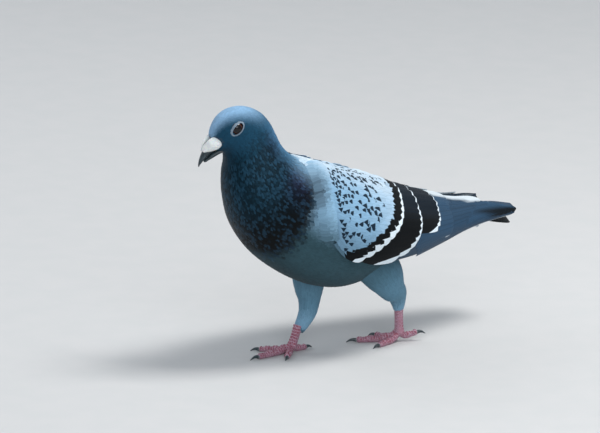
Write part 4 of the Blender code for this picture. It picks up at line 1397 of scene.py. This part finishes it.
def wing_core():
    """A thin closed blade just inside the wing's outer face, as thick as the folded wing."""
    steps = np.linspace(0, 1, WING_COLUMNS)
    stations = np.linspace(0, WING_LAST, WING_ROWS)
    face = WING.table[..., 0:3] - WING.table[..., 3:6] * LINING_DEPTH
    thin = np.clip(1 - 1.5 * stations / WING_LAST, 0, 1) ** 0.8
    thick = WING_THICK_TIP + (WING_THICK_FRONT - WING_THICK_TIP) * thin
    thick *= np.clip(0.15 + stations / 2, 0, 1)
    edge = 0.3 + 0.7 * np.sin(math.pi * steps) ** 0.5
    depth = np.maximum(thick[:, None] * edge - LINING_DEPTH, 0.15)
    inner = off_the_body(face - WING.table[..., 3:6] * depth[..., None], LINING_OFF_BODY)
    return np.concatenate([face, inner[:, ::-1]], axis=1)


def wing_row(tips, count, length, width, low, high, rise=0.04, rings=11, blunt=0.82, rim=0.6):
    """A row of overlapping feathers: tips is the station and place of the tips at a share of the row.

    Each root lies a length ahead of its tip and lower by a rise, in the sheet's own steps.
    """
    share = np.linspace(0, 1, count)
    station, t = tips(share)
    tip = station / WING_LAST
    middle = np.linalg.norm(WING.at(tip, np.clip(t, 0, 1))[2], axis=-1)
    middle = np.linalg.norm(WING.at(tip - 0.5 * length / middle, np.clip(t, 0, 1))[2], axis=-1)
    built = vanes(WING, tip - length / middle, t + rise, np.full(count, 0.5), np.linspace(0.04, 0.96, count),
                  length, width, low, high, ends=(tip, t), sides=8, rings=rings, blunt=blunt, thick=0.14,
                  patch=0.03, root=rim)
    return built, share, t


PRIMARIES, TAIL_FEATHERS = 9, 12


class PIGEON_OT_wings(bpy.types.Operator):
    """Wing shields with checks and bars, and the flight feathers"""
    bl_idname = "pigeon.wings"
    bl_label = "Wings"

    def execute(self, context):
        c = palette()
        core = wing_core()
        rows, columns = core.shape[:2]
        faces = turned_out(core, tube_faces(rows, columns))
        a, b = np.meshgrid(np.linspace(0, 1, rows), np.linspace(0, 1, columns), indexing="ij")
        shade = mixed(c.shield, c.slate, smooth(a * WING_LAST + 2.2 * smooth(b, 0.2, 0.45), 3.2, 4.2)) * 0.75
        left = core.reshape(-1, 3), faces
        for word, (points, facets) in (("left_", left), ("right_", mirrored(*left))):
            keep(new_piece(word + "wing_lining", points, facets, finish_of("skin"), with_gloss(shade)),
                 "wing_coverts", word + "wing", word + "primaries")
        self.shield()
        self.rows(c)
        self.flight(c)
        return {"FINISHED"}

    def shield(self):
        """Lesser and median coverts, with dark wedges that crowd at the upper front."""
        spacing = lambda a, b: coat_sizes().covert_spacing * (0.72 + 0.45 * smooth(a * WING_LAST, 0.2, 2.5))
        inside = lambda a, b: a * WING_LAST < first_stripe(b) - 0.62
        a, b, first, second = WING.spread(spacing, inside, 9)
        chance = noise(first, second)
        station = a * WING_LAST
        gap = spacing(a, b)
        length = gap * 3.3 * (0.9 + 0.2 * chance)
        built = vanes(WING, a, b, first, second, length, gap * 1.05, 0.1, 1.15,
                      turn=0.08 + aside(first, second, 0.2), sides=8, rings=7, thick=0.08,
                      patch=0.006)
        spot = self.spots(a, b, built, inside)
        pair("coverts", "wing_coverts", built, "shield", shield_tint(station, b, chance), chance, spot,
             first_stripe)

    def spots(self, a, b, built, inside):
        """1 for each covert whose tip lies nearest to one of a set of evenly scattered places, else 0.

        The places lie close at the front and along the top edge, and wide apart in the middle.
        """
        def apart(a, b):
            """Distance between the places."""
            station = a * WING_LAST
            front = np.exp(-((station - 0.75) / 0.75) ** 2) * (1 - 0.5 * smooth(b, 0.3, 0.7))
            top = np.exp(-((b - 0.06) / 0.07) ** 2)
            rear = smooth(station, first_stripe(b) - 1.7, first_stripe(b) - 1.1)
            return 7.6 - 4.6 * np.maximum(np.maximum(front, 0.75 * top), 0.5 * rear)
        within = lambda a, b: inside(a, b) & (b > 0.02)
        place_a, place_b, _, _ = WING.spread(apart, within, 21)
        places = WING.at(place_a, place_b)[0]
        tips = WING.at(*(np.clip(built[k].reshape(len(a), -1)[:, -1], 0, 1) for k in ("a", "b")))[0]
        spot = np.zeros(len(a))
        spot[nearest(places, tips)] = 1
        return spot

    def rows(self, c):
        """The rows of greater coverts and inner flight feathers whose pale tips draw the stripes."""
        dark_top = np.asarray(c.slate) * 0.14
        # Name, look, line of the tips, number of feathers, how far across the wing the row reaches, length
        # and half width of a feather, and its height over the wing at the root and at the tip.
        rows = (("first_row", "first", first_stripe, 13, 0.95, 30, 6.6, -0.4, 0.95),
                ("second_row", "second", second_stripe, 12, 0.93, 40, 6.6, -0.5, 0.6),
                ("third_row", "third", third_stripe, 8, 0.56, 44, 6.2, -0.6, 0.35))
        for name, look, line, count, t_to, length, width, low, high in rows:
            tips = lambda share: (line(np.maximum(share * t_to - 0.01, 0)), share * t_to - 0.01)
            built, _, t = wing_row(tips, count, length, width, low, high)
            chance = noise(t, t * 2)
            if name == "first_row":
                tint = shield_tint(0 * t + 1, t, chance)
                # Painted shade: the row's lower end mixed towards the shaded underparts colour
                tint[:, :3] = mixed(tint[:, :3], c.shaded_belly, 0.6 * smooth(t, 0.84, 0.93))
            else:
                tint = plain_tint(mixed(dark_top, c.bar, smooth(t, 0.25, 0.5)), chance, 0.1, 0.1)
            pair(name, "wing_coverts", built, look, tint, chance, line=line)

    def flight(self, c):
        """Two stacks of inner flight feathers behind the third row, then the long hand feathers."""
        # Name, line of the tips, number of feathers, length, half width, height at the root and at the tip,
        # how much lower on the wing the root lies, and the shade.
        inner = lambda v: (5.95 - 0.6 * v, 0.66 * v - 0.02)
        top = lambda v: (7.45 - 1.3 * v, 0.6 * v - 0.02)
        rows = (("secondaries", inner, 8, 48, 7.0, -0.6, 0.15, 0.06, 1.0),
                ("tertials", top, 7, 60, 6.5, -0.65, 0.0, 0.1, 0.85))
        for name, tips, count, length, width, low, high, rise, shade in rows:
            built, share, _ = wing_row(tips, count, length, width, low, high, rise, 12)
            chance = noise(share, share * 2)
            tint = np.repeat(plain_tint(np.asarray(c.slate) * shade + 0 * share[:, None], chance, 0.1, 0.12),
                             built["per"], axis=0)
            tint[:, :3] = mixed(tint[:, :3], c.rump, 0.85 - 0.85 * smooth(built["b"].ravel(), 0.0, 0.01))
            pair(name, "flight_feathers", built, "flight", tint, chance)
        count = PRIMARIES
        share = np.linspace(0, 1, count)
        ends = (7.6 + 1.5 * share) / WING_LAST, 0.16 + 0.4 * share
        built = vanes(WING, (3.3 + 0.5 * share) / WING_LAST, 0.6 + 0.38 * share, np.full(count, 0.5),
                      np.linspace(0.06, 0.94, count), 1, 5.2, -0.7, -0.1 - 0.5 * share, ends=ends, sides=8,
                      rings=16, blunt=0.93, thick=0.14, patch=0.06, root=0.8)
        chance = noise(share, share)
        ahead = np.broadcast_to(built["p"][None, :, None], built["a"].shape)
        # Dark tips are the bird's own, but only the lower primaries get them, so the top of the folded wing
        # tip stays lighter: the dark lower half is painted shade
        dark = smooth(ahead, 0.66, 0.8) * smooth(built["b"], 0.25, 0.5) * 0.95
        shade = mixed(c.slate, np.asarray(c.bar) * 1.4, dark).reshape(-1, 3)
        shade = shade * np.repeat(0.9 + 0.2 * chance, built["per"])[:, None]
        tint = with_gloss(shade, 0.1)
        pair("primary_feathers", "flight_feathers", built, "flight", tint, chance)


# ---------------------------------------------------------------------------------------------
# Tail
# ---------------------------------------------------------------------------------------------
class PIGEON_OT_tail(bpy.types.Operator):
    """Twelve tail feathers with coverts above and below"""
    bl_idname = "pigeon.tail"
    bl_label = "Tail"

    def execute(self, context):
        c = palette()
        count = TAIL_FEATHERS
        order = np.arange(count) - (count - 1) / 2
        share = order / order[-1]
        root = np.full(count, 0.04)
        ends = 1.0 - 0.03 * np.abs(share) ** 2, 0.5 + 0.36 * share
        level = -0.15 - 0.26 * np.abs(order)
        built = vanes(TAIL, root, 0.5 + 0.30 * share, np.full(count, 0.5), np.linspace(0.06, 0.94, count), 1,
                      4.6, level - 0.5, level, ends=ends, sides=8, rings=12,
                      blunt=0.9, thick=0.14, patch=0.06, root=0.5)
        band = np.broadcast_to(smooth(built["p"], 0.5, 0.56)[None, :, None], built["a"].shape)
        outer = np.abs(built["b"] - 0.5) > 0.5 * np.abs(share[:, None, None]) * 0.73
        outer = outer * (np.abs(share) > 0.99)[:, None, None] * 0.9
        shade = mixed(mixed(c.slate, c.fringe, outer), np.asarray(c.bar) * 1.3, band).reshape(-1, 3)
        coat_piece("tail_feathers", "flight_feathers", built, "tail", with_gloss(shade, 0.08),
                   noise(share, share), nodes=["tail"])
        # The under-tail coverts take the shaded underparts colour: painted shade under the tail
        for name, sheet, seed, shade, reach in (("upper_tail_coverts", TAIL, 11, c.rump, 0.36),
                                                ("under_tail_coverts", TAIL_UNDER, 12, c.shaded_belly, 0.3)):
            a, b, first, second = sheet.spread(3.0, lambda a, b: a < reach, seed)
            chance = noise(first, second)
            if name == "under_tail_coverts":
                shade = mixed(shade, c.fringe, smooth(np.abs(b - 0.5), 0.3, 0.4))
            built = vanes(sheet, a, b, first, second, reach * (30 + 10 * chance), 3.0, -0.3, 0.2, thick=0.08)
            coat_piece(name, "body_feathers", built, "body", plain_tint(shade, chance, 0.06), chance)
        return {"FINISHED"}


# ---------------------------------------------------------------------------------------------
# Head: bill, cere and eyes
# ---------------------------------------------------------------------------------------------
def bill_rings(rails, rows, columns, upper):
    """Sections of a mandible between its ridge and its edge, with a keel at the ridge and a sharp edge."""
    table = spline(rails, np.linspace(0, len(rails) - 1, rows))
    top = np.stack([0 * table[:, 0], -table[:, 0], table[:, 1]], axis=1)
    low = np.stack([0 * table[:, 0], -table[:, 2], table[:, 3]], axis=1)
    middle, reach = (top + low) / 2, (top - low) / 2
    angle = circle(columns)
    along, across = np.cos(angle), np.sin(angle)
    width = table[:, 4:5] * np.sign(across) * np.abs(across) ** (0.9 if upper else 1.0)
    rings = middle[:, None] + reach[:, None] * along[None, :, None]
    rings[..., 0] += width * (1 - 0.12 * (along if upper else -along))
    return turned(rings, 1.0)


class PIGEON_OT_bill(bpy.types.Operator):
    """Bill of two mandibles, and the two pads of the cere"""
    bl_idname = "pigeon.bill"
    bl_label = "Bill and cere"

    def execute(self, context):
        for name, rails, upper in (("upper_bill", UPPER_BILL, True), ("lower_bill", LOWER_BILL, False)):
            tube_piece(name + "_horn", bill_rings(rails, 60, 40, upper), "horn", "bill", name)
        for word, side in SIDES:
            tube_piece(word + "_cere_pad", pad_rings(side), "cere", "cere", word + "_cere")
        return {"FINISHED"}


class PIGEON_OT_eyes(bpy.types.Operator):
    """Eyeballs with a slight bulge of the cornea"""
    bl_idname = "pigeon.eyes"
    bl_label = "Eyes"

    def execute(self, context):
        lat = np.linspace(0.01, math.pi - 0.01, 64)[:, None]
        angle = circle(64)[None, :]
        radius = EYE_RADIUS + CORNEA * (1 - smooth(lat, 0.3, 0.85))
        for word, side in SIDES:
            centre, out, ahead, up = eye_frame(side)
            rings = (centre + (radius * np.cos(lat) + 0 * angle)[..., None] * out
                     + (radius * np.sin(lat) * np.cos(angle))[..., None] * ahead
                     + (radius * np.sin(lat) * np.sin(angle))[..., None] * up)
            maps = np.stack(np.broadcast_arrays(angle / (2 * math.pi), lat / math.pi), -1)
            tube_piece(word + "_eyeball", rings, "eye", "eye", word + "_eye", maps=maps)
        return {"FINISHED"}


# ---------------------------------------------------------------------------------------------
# Legs
# ---------------------------------------------------------------------------------------------
SCALE_SWELL = 0.35  # how far the scales stand out round shanks and toes
SCALE_RELIEF = 0.32  # from the seams between the scales to their tops
SHANK_SCALE, TOE_SCALE = 2.3, 2.0  # lengths of the scales
SHANK_HIDDEN = 4  # how far the shank goes up inside the thigh


def limb_rings(path, radii, columns):
    """Rings square to a path, with angle 0 on the upper or front side, and nothing below the floor."""
    run = unit(np.gradient(path, axis=0))
    across = unit(np.cross(run, np.array([[0.03, 0.05, 1.0]])))
    tall = np.cross(across, run)
    angle = circle(columns)[None, :, None]
    rings = (path[:, None]
             + (np.cos(angle) * tall[:, None] + np.sin(angle) * across[:, None]) * radii[..., None])
    rings[..., 2] = np.maximum(rings[..., 2], 0)
    return rings


def scuted(along, columns, pitch, length):
    """Relief of scales: over the front half each band swells and steps in at its end."""
    count = max(3, round(length / pitch))
    saw = (along * count) % 1
    relief = SCALE_RELIEF * (np.sin(math.pi * saw ** 0.7))[:, None]
    angle = circle(columns)[None, :]
    front = smooth(np.cos(angle), -0.2, 0.45)
    return relief * front, saw[:, None] * np.ones((1, columns)), front * np.ones((len(along), 1))


def scale_tint(saw, front):
    """Crimson in each scale's middle and pale at its edges."""
    c = palette()
    edge = np.clip(1 - smooth(saw, 0.04, 0.24) + smooth(saw, 0.84, 0.98), 0, 1) * front
    base = mixed(c.leg, c.scale_edge, 0.3 * (1 - front))
    return with_gloss(mixed(base, c.scale_edge, 0.7 * edge))


class PIGEON_OT_legs(bpy.types.Operator):
    """Scaly shanks, feet, toes and claws"""
    bl_idname = "pigeon.legs"
    bl_label = "Legs"

    def execute(self, context):
        self.leg("left", 1, LEFT_THIGH, LEFT_HUB, LEFT_FOOT_TURN, LEFT_HALLUX_RISE)
        self.leg("right", -1, RIGHT_THIGH, RIGHT_HUB, RIGHT_FOOT_TURN, 0)
        return {"FINISHED"}

    def leg(self, word, side, thigh, hub, foot_turn, hallux_rise):
        """A scaly shank from the thigh's end to the foot, and the four toes."""
        last = np.array(thigh[-1][:3])
        knee = np.array([side * last[0], -last[1], last[2] + SHANK_HIDDEN])
        foot = np.array([side * hub[0], -hub[1], hub[2] - 1.0])
        rows, columns = 90, 28
        share = np.linspace(0, 1, rows)
        path = knee + (foot - knee) * share[:, None]
        length = np.linalg.norm(foot - knee)
        radii = (SHANK_RADIUS + SCALE_SWELL) * (1 + 0.1 * (2 * share - 1) ** 2)
        radii = radii + (HUB_RADIUS * 0.95 - radii) * smooth(share, 1 - 4.5 / length, 1 - 1.0 / length)
        relief, saw, front = scuted(share, columns, SHANK_SCALE, length)
        rings = limb_rings(path, radii[:, None] - 0.1 + relief, columns)
        tube_piece(word + "_shank_scales", rings, "scales", "leg_scales", word + "_shank",
                   scale_tint(saw, front))
        for index, toe in enumerate(TOE_NAMES):
            heading = math.radians(TOE_SPREADS[index] + foot_turn)
            rise = hallux_rise if index == 0 else 0
            self.toe(f"{word}_{toe}", side, hub, heading, index, rise)

    def toe(self, name, side, hub, heading, index, tip_rise):
        """A toe with scales above and swelling pads below, and its claw."""
        length, radius = TOE_LENGTHS[index], TOE_RADII[index]
        direction = np.array([-math.sin(heading) * side, -math.cos(heading), 0])
        rows, columns = 80, 26
        along = np.linspace(0.2, length + 0.5, rows)
        share = along / length
        root_rise = hub[2] - HUB_RADIUS + TOE_ROOT_RISE
        height = radius - SOLE_FLAT + root_rise * np.clip(1 - share * 1.9, 0, 1) ** 2 + tip_rise * share
        path = np.array([side * hub[0], -hub[1], 0]) + direction * along[:, None]
        radii = (radius + SCALE_SWELL) * (1 + 0.09 * np.cos(2 * math.pi * share * TOE_PADS[index]))
        radii = radii * (1 - 0.2 * share)
        path[:, 2] = height - radius + radii
        relief, saw, front = scuted(share, columns, TOE_SCALE, length)
        round_tip = np.sqrt(np.clip(1 - ((share - 0.93) / (share[-1] - 0.93)).clip(0, 1) ** 2, 0.12, 1))
        rings = limb_rings(path, (radii[:, None] - 0.08 + relief) * round_tip[:, None], columns)
        tube_piece(name + "_scales", rings, "scales", "leg_scales", name, scale_tint(saw, front))
        tip_radius = radius * 0.78 * 1.07
        share = np.linspace(0, 1, 30)
        path = path[-1] * [1, 1, 0] + direction * (CLAW_LENGTHS[index] * share - 0.9 + 0.4)[:, None]
        path[:, 2] = (tip_rise + tip_radius - SOLE_FLAT + 0.9 * np.sin(math.pi * share)
                      - (tip_radius - 0.8) * share**1.6)
        radii = 1.4 * (1 - share) ** 0.75 + 0.16
        rings = limb_rings(path, radii[:, None] * np.ones((1, 20)), 20)
        tube_piece(name + "_claw_horn", rings, "horn", "claw", name + "_claw")


# ---------------------------------------------------------------------------------------------
# Stage
# ---------------------------------------------------------------------------------------------
CAMERA_AZIMUTH, CAMERA_ELEVATION = math.radians(50), math.radians(14)
CAMERA_DISTANCE = 6.0
FRAME_WIDTH = 0.45  # what the camera takes in across, in metres
AIM_RIGHT, AIM_UP = -0.03375, 0.0976  # the middle of what it takes in, from the ground between the feet
SENSOR = 36
FLOOR_REACH = 9.0  # from the middle of the floor to its sides, in metres
SKY, SKY_STRENGTH = (0.82, 0.88, 0.95, 1), 0.5
LAMP_AIM = Vector((0, 0, 0.1))
LAMPS = (  # name, place, power, size and colour
    ("key", (0.6, 0.6, 1.9), 30, 0.7, (1.0, 0.99, 0.97)),
    ("side", (1.6, -1.0, 1.1), 15, 1.2, (0.92, 0.96, 1.0)),
    ("far", (-1.5, -0.3, 1.1), 6, 1.0, (0.95, 0.97, 1.0)),
)


class PIGEON_OT_stage(bpy.types.Operator):
    """Floor, soft lights and camera"""
    bl_idname = "pigeon.stage"
    bl_label = "Stage"

    def execute(self, context):
        scene = context.scene
        corners = np.array([[-1, -1, 0], [1, -1, 0], [1, 1, 0], [-1, 1, 0]]) * FLOOR_REACH / MM
        floor = new_piece("floor", corners, [np.array([[0, 1, 2, 3]])], finish_of("floor"))
        world = bpy.data.worlds.new("Studio")
        world.use_nodes = True
        sky = world.node_tree.nodes["Background"]
        sky.inputs[0].default_value, sky.inputs[1].default_value = SKY, SKY_STRENGTH
        scene.world = world
        scene.view_settings.view_transform = "Standard"
        for name, place, power, size, colour in LAMPS:
            lamp = bpy.data.lights.new(name, "AREA")
            lamp.energy, lamp.size, lamp.color = power, size, colour
            made = bpy.data.objects.new(name, lamp)
            made.location = place
            made.rotation_euler = (LAMP_AIM - made.location).to_track_quat("-Z", "Y").to_euler()
            scene.collection.objects.link(made)
        self.camera(scene)
        return {"FINISHED"}

    def camera(self, scene):
        """A long lens from the left front, a little above."""
        az, el = CAMERA_AZIMUTH, CAMERA_ELEVATION
        right = np.array([math.cos(az), math.sin(az), 0])
        back = np.array([math.sin(az) * math.cos(el), -math.cos(az) * math.cos(el), math.sin(el)])
        up = np.cross(back, right)
        target = np.array([0, BACK, 0]) + AIM_RIGHT * right + AIM_UP * up
        data = bpy.data.cameras.new("camera")
        data.sensor_width = SENSOR
        data.lens = SENSOR * CAMERA_DISTANCE / FRAME_WIDTH
        data.clip_end = 60
        made = bpy.data.objects.new("camera", data)
        made.location = target + back * CAMERA_DISTANCE
        made.rotation_euler = Vector(-back).to_track_quat("-Z", "Y").to_euler()
        scene.collection.objects.link(made)
        scene.camera = made


OPERATORS = (PIGEON_OT_stage, PIGEON_OT_skin, PIGEON_OT_body_coat, PIGEON_OT_shoulders, PIGEON_OT_thigh_coat,
             PIGEON_OT_wings, PIGEON_OT_tail, PIGEON_OT_bill, PIGEON_OT_eyes, PIGEON_OT_legs)


class PIGEON_PT_panel(bpy.types.Panel):
    """Lists the steps that make the pigeon"""
    bl_idname = "PIGEON_PT_panel"
    bl_label = "Homing Pigeon"
    bl_space_type = "VIEW_3D"
    bl_region_type = "UI"
    bl_category = "Pigeon"

    def draw(self, context):
        """One button for each step, then the sizes and the colours."""
        for step in OPERATORS:
            self.layout.operator(step.bl_idname)
        for group in (context.scene.pigeon_sizes, context.scene.pigeon_colours):
            for label in group.bl_rna.properties.keys():
                if label not in ("rna_type", "name"):
                    self.layout.prop(group, label)


CLASSES = (PigeonColours, PigeonSizes, *OPERATORS, PIGEON_PT_panel)


def register():
    """Adds the classes and the scene's two groups of properties."""
    for item in CLASSES:
        bpy.utils.register_class(item)
    bpy.types.Scene.pigeon_colours = bpy.props.PointerProperty(type=PigeonColours)
    bpy.types.Scene.pigeon_sizes = bpy.props.PointerProperty(type=PigeonSizes)


def unregister():
    """Takes them away again."""
    del bpy.types.Scene.pigeon_sizes
    del bpy.types.Scene.pigeon_colours
    for item in reversed(CLASSES):
        bpy.utils.unregister_class(item)


def main():
    """Makes every piece in order."""
    register()
    for step in OPERATORS:
        group, name = step.bl_idname.split(".")
        getattr(getattr(bpy.ops, group), name)()


if __name__ == "__main__":
    main()
